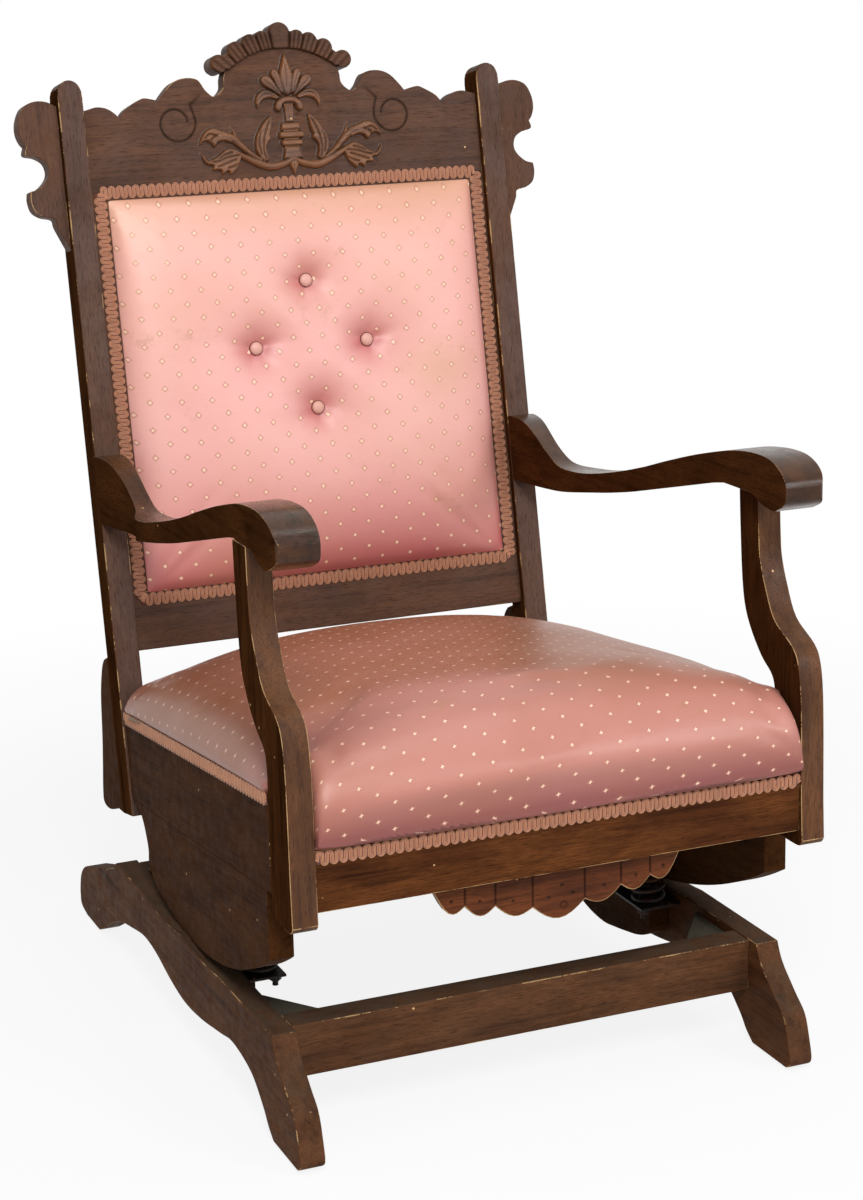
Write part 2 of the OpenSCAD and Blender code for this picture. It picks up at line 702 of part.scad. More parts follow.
module crest_rail() {
    right = concat(
        [for (r = [crest_run(crest_shares), crest_run(crest_dome_shares)], i = [0 : len(r) - 2]) r[i]],
        crest_run(crest_hook_shares));
    line = fan_line();
    color("#5b4030") back_frame() face_slab(0, crest_t) polygon(concat(
        [[span_half, crest_low_t]], right, [for (i = [1 : len(line) - 2]) line[i]],
        flip_x(right), [[-span_half, crest_low_t]]
    ));
}

// Fan: nine scalloped lobes on the crest's arched top, the middle one widest.
// Shares are of the fan's half width and of its height above the arch's ends.
fan_half = 88;
fan_end_share = 1.028;
fan_valley_shares = [[0.19, 0.87], [0.375, 0.77], [0.575, 0.635], [0.767, 0.44]];
fan_bulge_shares = [0.2, 0.24, 0.24, 0.24, 0.6];
fan_steps = 6;

function fan_point(s) =
    let (low = crest_point([0, fan_end_share])[1], high = crest_point([0, arch_line_shares[3][1]])[1] + fan_h)
    [s[0] * fan_half, low + s[1] * (high - low)];
function bulged(a, b, share) = [for (k = [0 : fan_steps])
    a + (b - a) * k / fan_steps + share * [a[1] - b[1], b[0] - a[0]] * sin(180 * k / fan_steps)];

module crest_fan() {
    line = fan_line();
    v = concat([for (s = fan_valley_shares) fan_point(s)], [line[0]]);
    right = concat(
        [for (k = [fan_steps / 2 : fan_steps - 1]) bulged([-v[0][0], v[0][1]], v[0], fan_bulge_shares[0])[k]],
        [for (i = [0 : 3], k = [0 : fan_steps - 1]) bulged(v[i], v[i + 1], fan_bulge_shares[i + 1])[k]]
    );
    color("#63452f") back_frame() face_slab(-fan_proud, crest_t + fan_proud)
        polygon(concat(right, line, [for (i = [len(right) - 1 : -1 : 1]) [-right[i][0], right[i][1]]]));
}

// Ears: scrolls with a deep round bite on the outer side of each back post
ear_drop = 188;
ear_low_t = post_top_t - ear_drop;
ear_head_shares = [
    [0, 0.96], [0.25, 0.995], [0.55, 1.0], [0.83, 0.965], [0.98, 0.88], [1, 0.8], [0.93, 0.74], [0.845, 0.71]
];
ear_bite_shares = [
    [0.845, 0.71], [0.88, 0.655], [0.62, 0.635], [0.41, 0.595], [0.35, 0.53], [0.44, 0.475], [0.65, 0.425], [0.85, 0.41]
];
ear_tail_shares = [
    [0.85, 0.41], [0.87, 0.35], [0.8, 0.28], [0.6, 0.24], [0.33, 0.22], [0.28, 0.17], [0.12, 0.07], [0, 0]
];

module ear(side) {
    at = [back_half, ear_low_t];
    color("#5b4030") back_frame() on_side(side) face_slab(0, crest_t) polygon(outline([
        curve(spread(ear_head_shares, at, ear_w, ear_h)),
        curve(spread(ear_bite_shares, at, ear_w, ear_h)),
        curve(spread(ear_tail_shares, at, ear_w, ear_h)),
        flat_run([back_half, ear_low_t], [back_half, ear_low_t + ear_head_shares[0][1] * ear_h])
    ]));
}

// Lower back rail and the stiles that the pad is tacked to
stile_w = 26;

module lower_back_rail() {
    color("#5b4030") back_frame() face_slab(0, lower_rail_t)
        translate([-span_half, lower_rail_t0]) square([2 * span_half, lower_rail_h]);
}

module back_stile(side) {
    t0 = lower_rail_t0 + lower_rail_h;
    color("#4c382b") back_frame() on_side(side) face_slab(0, lower_rail_t)
        translate([span_half - stile_w, t0]) square([stile_w, crest_low_t - t0]);
}

// Cloth on the back's rear face
module back_cover() {
    half = span_half - gimp_w;
    t0 = lower_rail_t0 + gimp_w;
    color("#b98a86") back_frame() face_slab(max(lower_rail_t, crest_t), strap_t)
        translate([-half, t0]) square([2 * half, crest_low_t + 2 * gimp_w - t0]);
}

// Rounded rectangle about the middle of the back panel
panel_mid = (panel_t0 + panel_t1) / 2;
panel_corner_share = 0.6;

module panel_shape(inset) {
    half = panel_half - inset;
    tall = panel_h / 2 - inset;
    r = panel_corner_share * gimp_w;
    translate([0, panel_mid]) {
        square([2 * half, 2 * (tall - r)], center = true);
        square([2 * (half - r), 2 * tall], center = true);
        for (sx = [-1, 1], st = [-1, 1]) translate([sx * (half - r), st * (tall - r)]) circle(r = r, $fn = round_fn);
    }
}

// Braid round the back panel
module back_gimp() {
    color("#b5705c") back_frame() face_slab(-gimp_t, gimp_t) difference() {
        panel_shape(0);
        translate([0, panel_mid]) square([2 * (panel_half - gimp_w), panel_h - 2 * gimp_w], center = true);
    }
}

// Places of the four buttons, as shares of the panel's half width and half height
button_shares = [[0, 0.49], [-0.292, 0.18], [0.292, 0.18], [0, -0.13]];
function button_at(s) = [s[0] * panel_half, panel_mid + s[1] * panel_h / 2];
button_h = 5;
pad_floor = 3;

// Back pad: a crowned panel drawn in at its edges and pulled in at the buttons.
// Its grid has lines on both sides of each button, so that each button sits on a flat.
tuft_reach = 20;
tuft_flat = button_d * 0.9;
pad_edge_shares = [0.2, 0.42, 0.62, 0.78, 0.9, 0.97, 1];
pad_half = panel_half - gimp_w - fit;
pad_tall = panel_h / 2 - gimp_w - fit;

function pad_swell(u, v) = sqrt(max(0, 1 - pow(abs(u), 4)) * max(0, 1 - pow(abs(v), 5)));
function pad_pull(x, t) = max([for (s = button_shares)
    let (d = max(0, norm([x, t] - button_at(s)) - tuft_flat)) exp(-pow(d / tuft_reach, 1.2))]);
function pad_out(x, t) =
    let (swell = pad_swell(x / pad_half, (t - panel_mid) / pad_tall))
    -pad_floor - (pad_crown - pad_floor) * swell + tuft_depth * pad_pull(x, t) * swell;
function beside(a) = [a - button_d * 0.6, a + button_d * 0.6];
function pad_columns() =
    let (
        q = beside(button_at(button_shares[2])[0]),
        right = concat([beside(0)[1], (beside(0)[1] + q[0]) / 2], q, [for (s = pad_edge_shares) q[1] + s * (pad_half - q[1])])
    )
    concat([for (i = [len(right) - 1 : -1 : 0]) -right[i]], right);
function pad_lines_between(a, b) = [a, (a + b) / 2, b];
function pad_rows() =
    let (
        low = beside(button_at(button_shares[3])[1]),
        mid = beside(button_at(button_shares[1])[1]),
        high = beside(button_at(button_shares[0])[1]),
        foot = panel_mid - pad_tall,
        head = panel_mid + pad_tall
    )
    concat(
        [for (i = [len(pad_edge_shares) - 1 : -1 : 0]) low[0] + pad_edge_shares[i] * (foot - low[0])],
        [low[0]], pad_lines_between(low[1], mid[0]), pad_lines_between(mid[1], high[0]), [high[1]],
        [for (s = pad_edge_shares) high[1] + s * (head - high[1])]
    );

module back_pad() {
    columns = pad_columns();
    color("#c98f82") back_frame() skin([for (t = pad_rows()) concat(
        [[-pad_half, -fit, t]], [for (x = columns) [x, pad_out(x, t), t]], [[pad_half, -fit, t]]
    )]);
}

// The flat under a button: the most forward of its four grid corners
function button_seat(b) =
    min([for (x = beside(b[0]), t = beside(b[1])) pad_out(x, t)]) - fit;

module back_buttons() {
    color("#8a4a44") back_frame() for (s = button_shares) {
        b = button_at(s);
        translate([b[0], button_seat(b), b[1]]) rotate([90, 0, 0]) rotate_extrude($fn = round_fn)
            polygon(concat([[0, 0]], [for (k = [0 : 6]) [button_d / 2 * cos(k * 15), button_h * sin(k * 15)]]));
    }
}

// Seat cushion: stations across the width, each with a crowned top, a front roll that
// falls to the front rail, and a floor on the rails. It steps in beside the posts.
cushion_columns = 24;
seat_front_y = front_rail_y - roll_reach;
seat_low_y = back_y(rail_top(seat_rear_y)) - fit;
seat_step_y = post_face_y(rail_top(seat_rear_y)) - fit;
seat_end_shares = [[0, 0.55], [1, 0.8]];
seat_top_shares = [
    [0, 0.8], [0.04, 0.92], [0.11, 1], [0.23, 1.08], [0.38, 1.1], [0.55, 1.07], [0.72, 1.03], [0.87, 1], [1, 0.96]
];
seat_roll_shares = [
    [0, 1], [0.03, 0.997], [0.26, 0.955], [0.5, 0.89], [0.7, 0.79], [0.86, 0.66], [0.96, 0.5], [1, 0.34], [0.985, 0.16], [0.93, 0]
];
roll_floor_share = 0.85;
cushion_end_share = 0.5;
// Behind the front posts the cushion's top is tucked down, then turns in between them
tuck_from_share = 0.87;
tuck_share = 0.5;
tuck_gap = 3;
function tuck(u, s) = abs(u) > tuck_from_share && s == 1 ? tuck_share : 1;
cushion_side_share = 0.62;

function crown_at(u) =
    seat_edge * (cushion_end_share + (1 - cushion_end_share) * pow(max(0, 1 - pow(abs(u), 6)), cushion_side_share))
    + (seat_crown - seat_edge) * (1 - u * u);
function on_rails(y) = rail_top(y) + strap_t + fit;

// One station: the top from rear to front, then the floor from front to rear
function cushion_ring(u) =
    let (
        crown = crown_at(u),
        low = front_rail_top + fit,
        roll_y = post_back_y + fit,
        top_y = roll_y + tuck_gap,
        step_y = seat_step_y - fit,
        roll_run = roll_y - seat_front_y,
        inner = u * (span_half - fit),
        between = u * (post_front_in - fit),
        inner_crown = crown_at(inner / side_x(seat_step_y)),
        between_crown = crown_at(between / side_x(post_back_y)),
        nose = rail_top(roll_y) + seat_top_shares[8][1] * between_crown,
        end = [for (s = seat_end_shares) let (y = seat_low_y + s[0] * (seat_step_y + fit - seat_low_y))
            [[inner, y, rail_top(y) + s[1] * inner_crown], [inner, y, on_rails(y)]]],
        top = [for (s = seat_top_shares) let (y = step_y + s[0] * (top_y - step_y), x = u * (side_x(y) - fit))
            [[x, y, rail_top(y) + s[1] * crown * tuck(u, s[0])], [x, y, on_rails(y)]]],
        in_y = roll_y + tuck_gap / 2,
        turn = [[
            [between, in_y, rail_top(in_y) + seat_top_shares[8][1] * crown * tuck(u, 1)],
            [between, in_y, on_rails(in_y)]
        ]],
        last = len(seat_roll_shares) - 1,
        roll = [for (i = [0 : last])
            let (
                s = seat_roll_shares[i],
                y = roll_y - s[0] * roll_run,
                floor_y = roll_y - i / last * roll_run * roll_floor_share
            )
            [[between, y, low + s[1] * (nose - low)], [between, floor_y, i == 0 ? on_rails(roll_y) : low]]],
        pairs = concat(end, top, turn, roll)
    )
    concat([for (p = pairs) p[0]], [for (i = [len(pairs) - 1 : -1 : 0]) pairs[i][1]]);

module seat_cushion() {
    color("#c27f78") strip_skin([for (i = [0 : cushion_columns])
        let (f = 2 * i / cushion_columns - 1, u = 0.65 * f - 0.35 * cos(180 * i / cushion_columns))
        cushion_ring(abs(f) == 1 ? f : u)]);
}

// Braid on the front rail and along both side rails
module seat_gimp() {
    color("#b5705c") {
        translate([-post_front_in, front_rail_y - gimp_t, front_rail_top - gimp_w])
            cube([2 * post_front_in, gimp_t, gimp_w]);
        for (side = ["left", "right"]) on_side(side) intersection() {
            tapered_wall(-gimp_t, 0);
            side_slab(0, base_out * 2) polygon([
                [post_back_y, rail_top(post_back_y) - gimp_w],
                [post_face_y(rail_top(seat_rear_y)) - gimp_t, rail_top(seat_rear_y) - gimp_w + gimp_t],
                [post_face_y(rail_top(seat_rear_y)) - gimp_t, rail_top(seat_rear_y) + gimp_t],
                [post_back_y, rail_top(post_back_y) + gimp_t / 2]
            ]);
        }
    }
}

base_side("left");  // base_side_left
base_side("right");  // base_side_right
stretcher(front_stretcher_share);  // base_stretcher_front
stretcher(rear_stretcher_share);  // base_stretcher_rear
corner_block("left", "front");  // corner_block_front_left
corner_block("right", "front");  // corner_block_front_right
corner_block("left", "rear");  // corner_block_rear_left
corner_block("right", "rear");  // corner_block_rear_right
glides();
spring_cleat("left");  // spring_cleat_left
spring_cleat("right");  // spring_cleat_right
spring_plate_lower("left");  // spring_plate_lower_left
spring_plate_lower("right");  // spring_plate_lower_right
rocker_spring("left", "front");  // spring_front_left
rocker_spring("right", "front");  // spring_front_right
rocker_spring("left", "rear");  // spring_rear_left
rocker_spring("right", "rear");  // spring_rear_right
spring_plate_upper("left");  // spring_plate_upper_left
spring_plate_upper("right");  // spring_plate_upper_right
rocker("left");  // rocker_left
rocker("right");  // rocker_right
side_rail("left");  // side_rail_left
side_rail("right");  // side_rail_right
front_rail();
rear_rail();
apron();
seat_corner_blocks();
seat_webbing();
dust_cover();
front_post("left");  // front_post_left
front_post("right");  // front_post_right
arm("left");  // arm_left
arm("right");  // arm_right
back_post("left");  // back_post_left
back_post("right");  // back_post_right
rear_leg("left");  // rear_leg_left
rear_leg("right");  // rear_leg_right
crest_rail();
crest_fan();
ear("left");  // ear_left
ear("right");  // ear_right
lower_back_rail();
back_stile("left");  // back_stile_left
back_stile("right");  // back_stile_right
back_cover();
back_pad();
back_buttons();
back_gimp();
seat_cushion();
seat_gimp();
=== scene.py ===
"""Dressed scene of the platform rocker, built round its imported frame.

Every timber of the frame gets eased and worn edges and a walnut finish, the crest gets its carving, the seat
and the back get stuffed and tufted satin covers with a scroll braid, and the rocking gear gets coiled springs.
Lengths are metres in the row frame: +Z is up, the sitter faces -Y and the floor is Z = 0.
"""

import logging
import math
import random
from collections.abc import Callable, Sequence
from dataclasses import dataclass, field, replace
from enum import Enum

import bmesh
import bpy
import numpy as np
from mathutils import Matrix, Vector
from mathutils.geometry import delaunay_2d_cdt


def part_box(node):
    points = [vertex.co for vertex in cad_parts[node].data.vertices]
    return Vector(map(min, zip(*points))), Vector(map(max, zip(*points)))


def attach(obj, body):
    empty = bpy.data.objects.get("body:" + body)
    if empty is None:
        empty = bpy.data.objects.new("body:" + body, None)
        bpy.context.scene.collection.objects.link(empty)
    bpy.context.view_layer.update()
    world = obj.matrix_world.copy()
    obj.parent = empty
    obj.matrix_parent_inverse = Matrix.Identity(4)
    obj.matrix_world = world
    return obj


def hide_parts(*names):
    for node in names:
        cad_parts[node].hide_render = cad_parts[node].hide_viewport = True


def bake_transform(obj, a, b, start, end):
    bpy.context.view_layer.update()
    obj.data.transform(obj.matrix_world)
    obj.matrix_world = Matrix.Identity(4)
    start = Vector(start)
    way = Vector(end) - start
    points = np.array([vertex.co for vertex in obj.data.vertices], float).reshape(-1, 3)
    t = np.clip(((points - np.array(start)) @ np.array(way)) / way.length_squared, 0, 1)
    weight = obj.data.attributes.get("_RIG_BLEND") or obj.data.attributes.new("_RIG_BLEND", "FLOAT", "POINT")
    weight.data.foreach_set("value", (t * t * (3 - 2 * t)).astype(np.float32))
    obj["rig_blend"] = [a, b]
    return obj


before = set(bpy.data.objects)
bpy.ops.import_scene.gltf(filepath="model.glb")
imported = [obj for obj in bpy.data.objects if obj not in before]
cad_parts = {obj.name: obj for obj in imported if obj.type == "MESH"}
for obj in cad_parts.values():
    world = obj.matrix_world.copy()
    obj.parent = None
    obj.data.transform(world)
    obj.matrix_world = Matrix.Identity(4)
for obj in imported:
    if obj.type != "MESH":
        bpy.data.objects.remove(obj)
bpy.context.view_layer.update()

log = logging.getLogger("platform_rocker")

Point2 = tuple[float, float]
Point3 = tuple[float, float, float]
Colour = tuple[float, float, float]
Socket = bpy.types.NodeSocket

MM = 0.001
SIDES = ("left", "right")
ENDS = ("front", "rear")

THINNEST = 1e-5  # radius of a turned shape's point, so that its cap stays a face
BOARD_WELD = 2e-5  # corners of a board's solid that lie closer are one corner
FLAT_TURN = math.radians(0.4)  # faces of a board that turn less are one flat face
EASED_TURN = math.radians(28)  # outward corners that turn more get eased
CREASE_TURN = math.radians(38)  # corners that turn more shade sharply
CHEEK_LOOK = 0.9  # least sideways part of the normal of a face that counts as a cheek
CARVED_LOOK = 0.995  # least agreement of a carved face's normal with the way it looks
DARK_DEPTH = 0.0012  # depth at which the painted shade in carving is darkest
HALF_WAVE = 0.5  # brings a wave between -1 and 1 to between 0 and 1
CLOTH_THICK = 0.0006  # thickness of the stretched cloths
RAIL_FLARE = 0.0343  # how far the side rails spread per metre towards the front


class Body(Enum):
    """The two bodies that the rocking line joins."""

    BASE = "base"
    CHAIR = "chair"


class Along(Enum):
    """The way a board's grain runs."""

    ACROSS = (1.0, 0.0, 0.0)
    DEPTH = (0.0, 1.0, 0.0)
    UPRIGHT = (0.0, 0.0, 1.0)
    RAKED = (0.0, 0.1857, 0.9826)
    FALLING = (0.0, 0.9914, -0.1305)
    DIAGONAL_LEFT = (0.7071, 0.7071, 0.0)
    DIAGONAL_RIGHT = (-0.7071, 0.7071, 0.0)


# Small geometry


@dataclass(frozen=True)
class RakedFace:
    """The plane of the back's front face, with lengths across it and up it."""

    foot_y: float = 0.1635
    rake: float = math.radians(10.7)

    def place(self, x: float, out: float, up: float) -> Vector:
        """Give the row-frame point.

        Args:
            x: Distance across from the middle.
            out: Distance forward of the face.
            up: Distance up the raked face from floor level.

        Returns:
            The point in the row frame.
        """
        c, s = math.cos(self.rake), math.sin(self.rake)
        return Vector((x, self.foot_y - out * c + up * s, out * s + up * c))

    def read(self, points: np.ndarray) -> np.ndarray:
        """Give columns of across, out and up for an array of row-frame points."""
        c, s = math.cos(self.rake), math.sin(self.rake)
        y, z = points[:, 1] - self.foot_y, points[:, 2]
        return np.stack([points[:, 0], -y * c + z * s, y * s + z * c], axis=1)

    def place_all(self, local: np.ndarray) -> np.ndarray:
        """Give row-frame points for an array of across, out and up."""
        c, s = math.cos(self.rake), math.sin(self.rake)
        x, out, up = local[:, 0], local[:, 1], local[:, 2]
        return np.stack([x, self.foot_y - out * c + up * s, out * s + up * c], axis=1)

    def way(self, x: float, out: float, up: float) -> Vector:
        """Give a direction in the row frame from its parts across, out and up."""
        return self.place(x, out, up) - self.place(0, 0, 0)


BACK = RakedFace()


def smooth_run(points: Sequence[Sequence[float]], steps: int = 6, closed: bool = False) -> np.ndarray:
    """Run a smooth line through chosen points.

    Args:
        points: The points that the line passes.
        steps: Parts that each stretch is cut into.
        closed: Whether the last point runs back to the first.

    Returns:
        An array of points on the line.
    """
    p = np.asarray(points, float)
    n = len(p)
    if closed:
        q = np.vstack([p[-1], p, p[0], p[1]])
        spans = n
    else:
        q = np.vstack([2 * p[0] - p[1], p, 2 * p[-1] - p[-2]])
        spans = n - 1
    out = []
    for i in range(spans):
        a, b, c, d = q[i], q[i + 1], q[i + 2], q[i + 3]
        for k in range(steps):
            u = k / steps
            out.append(0.5 * (2 * b + (c - a) * u + (2 * a - 5 * b + 4 * c - d) * u * u
                              + (3 * b - a - 3 * c + d) * u ** 3))
    if not closed:
        out.append(p[-1])
    return np.array(out)


def gap_to_line(points: np.ndarray, line: np.ndarray, closed: bool = False) -> np.ndarray:
    """Give each point's distance to a line of straight stretches.

    Args:
        points: Array of 2-D points.
        line: The line's corners.
        closed: Whether the line runs back to its start.

    Returns:
        One distance per point.
    """
    ends = np.vstack([line[1:], line[:1]]) if closed else line[1:]
    starts = line if closed else line[:-1]
    best = np.full(len(points), 1e9)
    for a, b in zip(starts, ends):
        d = b - a
        size = float(d @ d)
        if size < 1e-18:
            continue
        t = np.clip(((points - a) @ d) / size, 0, 1)
        gap = np.hypot(*(points - a - t[:, None] * d).T)
        best = np.minimum(best, gap)
    return best


def within(points: np.ndarray, line: np.ndarray) -> np.ndarray:
    """Say for each 2-D point whether it lies inside a closed line."""
    x, y = points[:, 0], points[:, 1]
    inside = np.zeros(len(points), bool)
    j = len(line) - 1
    for i in range(len(line)):
        (xi, yi), (xj, yj) = line[i], line[j]
        if yi != yj:
            hit = ((yi > y) != (yj > y)) & (x < (xj - xi) * (y - yi) / (yj - yi) + xi)
            inside ^= hit
        j = i
    return inside


def skin_faces(rows: int, around: int, closed: bool = False) -> list[tuple[int, ...]]:
    """Join rings of points into a skin, with a cap at each end.

    Args:
        rows: How many rings there are.
        around: Points in each ring.
        closed: Whether the last ring runs back to the first, so that no caps are needed.

    Returns:
        The faces, as indices of points.
    """
    faces: list[tuple[int, ...]] = []
    for k in range(rows if closed else rows - 1):
        here, there = k * around, (k + 1) % rows * around
        for i in range(around):
            j = (i + 1) % around
            faces.append((here + i, here + j, there + j, there + i))
    if not closed:
        faces.append(tuple(range(around - 1, -1, -1)))
        faces.append(tuple((rows - 1) * around + i for i in range(around)))
    return faces


def grid_faces(rows: int, cols: int) -> list[tuple[int, ...]]:
    """Join an open grid of points, given row by row, into faces."""
    return [(a, a + 1, a + cols + 1, a + cols)
            for r in range(rows - 1) for a in range(r * cols, (r + 1) * cols - 1)]


def turned(faces: Sequence[tuple[int, ...]]) -> list[tuple[int, ...]]:
    """Give the same faces looking the other way."""
    return [(f[0], *f[:0:-1]) for f in faces]


def new_piece(name: str, verts: Sequence[Sequence[float]],
              faces: Sequence[Sequence[int]]) -> bpy.types.Object:
    """Make a smoothly shaded mesh object in the scene.

    Args:
        name: The piece's name.
        verts: Its points in the row frame.
        faces: Its faces, as indices of points.

    Returns:
        The new object.
    """
    mesh = bpy.data.meshes.new(name)
    mesh.from_pydata([tuple(float(c) for c in v) for v in verts], [],
                     [tuple(int(i) for i in f) for f in faces])
    mesh.validate()
    mesh.polygons.foreach_set("use_smooth", [True] * len(mesh.polygons))
    mesh.update()
    obj = bpy.data.objects.new(name, mesh)
    bpy.context.scene.collection.objects.link(obj)
    return obj


def mesh_points(obj: bpy.types.Object) -> np.ndarray:
    """Give the object's mesh points as an array."""
    co = np.empty(len(obj.data.vertices) * 3, np.float32)
    obj.data.vertices.foreach_get("co", co)
    return co.reshape(-1, 3).astype(float)


def set_points(obj: bpy.types.Object, points: np.ndarray) -> None:
    """Move the object's mesh points to the given places."""
    obj.data.vertices.foreach_set("co", np.asarray(points, np.float32).ravel())
    obj.data.update()


def write_number(obj: bpy.types.Object, name: str, values: np.ndarray) -> None:
    """Store one number per mesh point under a name that the finishes read."""
    att = obj.data.attributes.get(name) or obj.data.attributes.new(name, "FLOAT", "POINT")
    att.data.foreach_set("value", np.asarray(values, np.float32).ravel())


def write_vector(obj: bpy.types.Object, name: str, values: np.ndarray) -> None:
    """Store one vector per mesh point under a name that the finishes read."""
    att = obj.data.attributes.get(name) or obj.data.attributes.new(name, "FLOAT_VECTOR", "POINT")
    att.data.foreach_set("vector", np.asarray(values, np.float32).ravel())


def lay_cloth(obj: bpy.types.Object, across: np.ndarray, down: np.ndarray) -> None:
    """Store cloth coordinates, two lengths per mesh point, that the weave and the sprigs follow."""
    write_vector(obj, "cloth", np.stack([across, down, np.zeros(len(across))], axis=1))


def fit_out(obj: bpy.types.Object, finish: bpy.types.Material, body: Body, node: str = "") -> None:
    """Give a piece its finish and its body, and let it stand for a node of the frame.

    Args:
        obj: The piece.
        finish: Its material.
        body: The body that it rides on.
        node: The node that it replaces, or nothing for an addition.
    """
    obj.data.materials.append(finish)
    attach(obj, body.value)
    if node:
        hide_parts(node)


def lay_grain(obj: bpy.types.Object, along: Along, board: str) -> None:
    """Store board coordinates, so that the figure runs along the piece and differs from board to board.

    Args:
        obj: The timber.
        along: The way its grain runs.
        board: The board's name, which seeds its figure.
    """
    dice = random.Random(board)
    a = Vector(along.value).normalized()
    side = Vector((1, 0, 0)) if abs(a.x) < 0.6 else Vector((0, 1, 0))
    b = a.cross(side).normalized()
    c = a.cross(b)
    basis = np.array([list(a), list(b), list(c)])
    shift = np.array([dice.uniform(-3, 3), dice.uniform(-3, 3), dice.uniform(-3, 3)])
    write_vector(obj, "grain", mesh_points(obj) @ basis.T + shift)


def even_normals(obj: bpy.types.Object) -> None:
    """Let large flat faces keep flat shading beside their eased edges."""
    step = obj.modifiers.new("FaceNormals", "WEIGHTED_NORMAL")
    step.keep_sharp = True
    step.weight = 60


def tube(line: np.ndarray, radius: float | np.ndarray, sides: int = 6, closed: bool = False,
         normal: Sequence[float] | None = None) -> tuple[np.ndarray, list[tuple[int, ...]]]:
    """Make the skin of a round rod along a line.

    Args:
        line: The rod's middle line.
        radius: Its radius, or one radius per point.
        sides: Facets round the rod.
        closed: Whether the rod runs back into itself.
        normal: A direction that the facets keep to, or None.

    Returns:
        The points and the faces.
    """
    p = np.asarray(line, float)
    n = len(p)
    r = np.broadcast_to(np.asarray(radius, float), (n,))
    if closed:
        ahead, behind = np.roll(p, -1, 0), np.roll(p, 1, 0)
    else:
        ahead, behind = np.vstack([p[1:], p[-1:]]), np.vstack([p[:1], p[:-1]])
    run = ahead - behind
    run /= np.linalg.norm(run, axis=1)[:, None] + 1e-12
    up = np.tile(np.asarray(normal if normal is not None else (0.123, 0.31, 0.94), float), (n, 1))
    across = np.cross(run, up)
    across /= np.linalg.norm(across, axis=1)[:, None] + 1e-12
    lift = np.cross(across, run)
    angle = np.arange(sides) * 2 * math.pi / sides
    ring = np.cos(angle)[None, :, None] * across[:, None, :] + np.sin(angle)[None, :, None] * lift[:, None, :]
    return (p[:, None, :] + ring * r[:, None, None]).reshape(-1, 3), skin_faces(n, sides, closed)


def lathe(profile: Sequence[Point2], centre: Vector, axis: Vector, sides: int = 28
          ) -> tuple[list[Vector], list[tuple[int, ...]]]:
    """Turn a profile round an axis.

    Args:
        profile: Radius and height pairs from one end to the other.
        centre: The point on the axis at height 0.
        axis: The direction of increasing height.
        sides: Facets round the axis.

    Returns:
        The points and the faces.
    """
    a = axis.normalized()
    u = a.orthogonal().normalized()
    v = a.cross(u)
    verts = []
    for radius, height in profile:
        for k in range(sides):
            t = 2 * math.pi * k / sides
            verts.append(centre + a * height + (u * math.cos(t) + v * math.sin(t)) * max(radius, THINNEST))
    return verts, skin_faces(len(profile), sides)


@dataclass
class Shapes:
    """Points and faces that gather into one mesh."""

    verts: list = field(default_factory=list)
    faces: list = field(default_factory=list)

    def add(self, verts: Sequence, faces: Sequence[Sequence[int]]) -> None:
        """Add a shape's points and faces."""
        first = len(self.verts)
        self.verts.extend(verts)
        self.faces.extend(tuple(i + first for i in f) for f in faces)

    def piece(self, name: str) -> bpy.types.Object:
        """Make the gathered shapes into one smooth object."""
        return new_piece(name, self.verts, self.faces)


# Shader groups


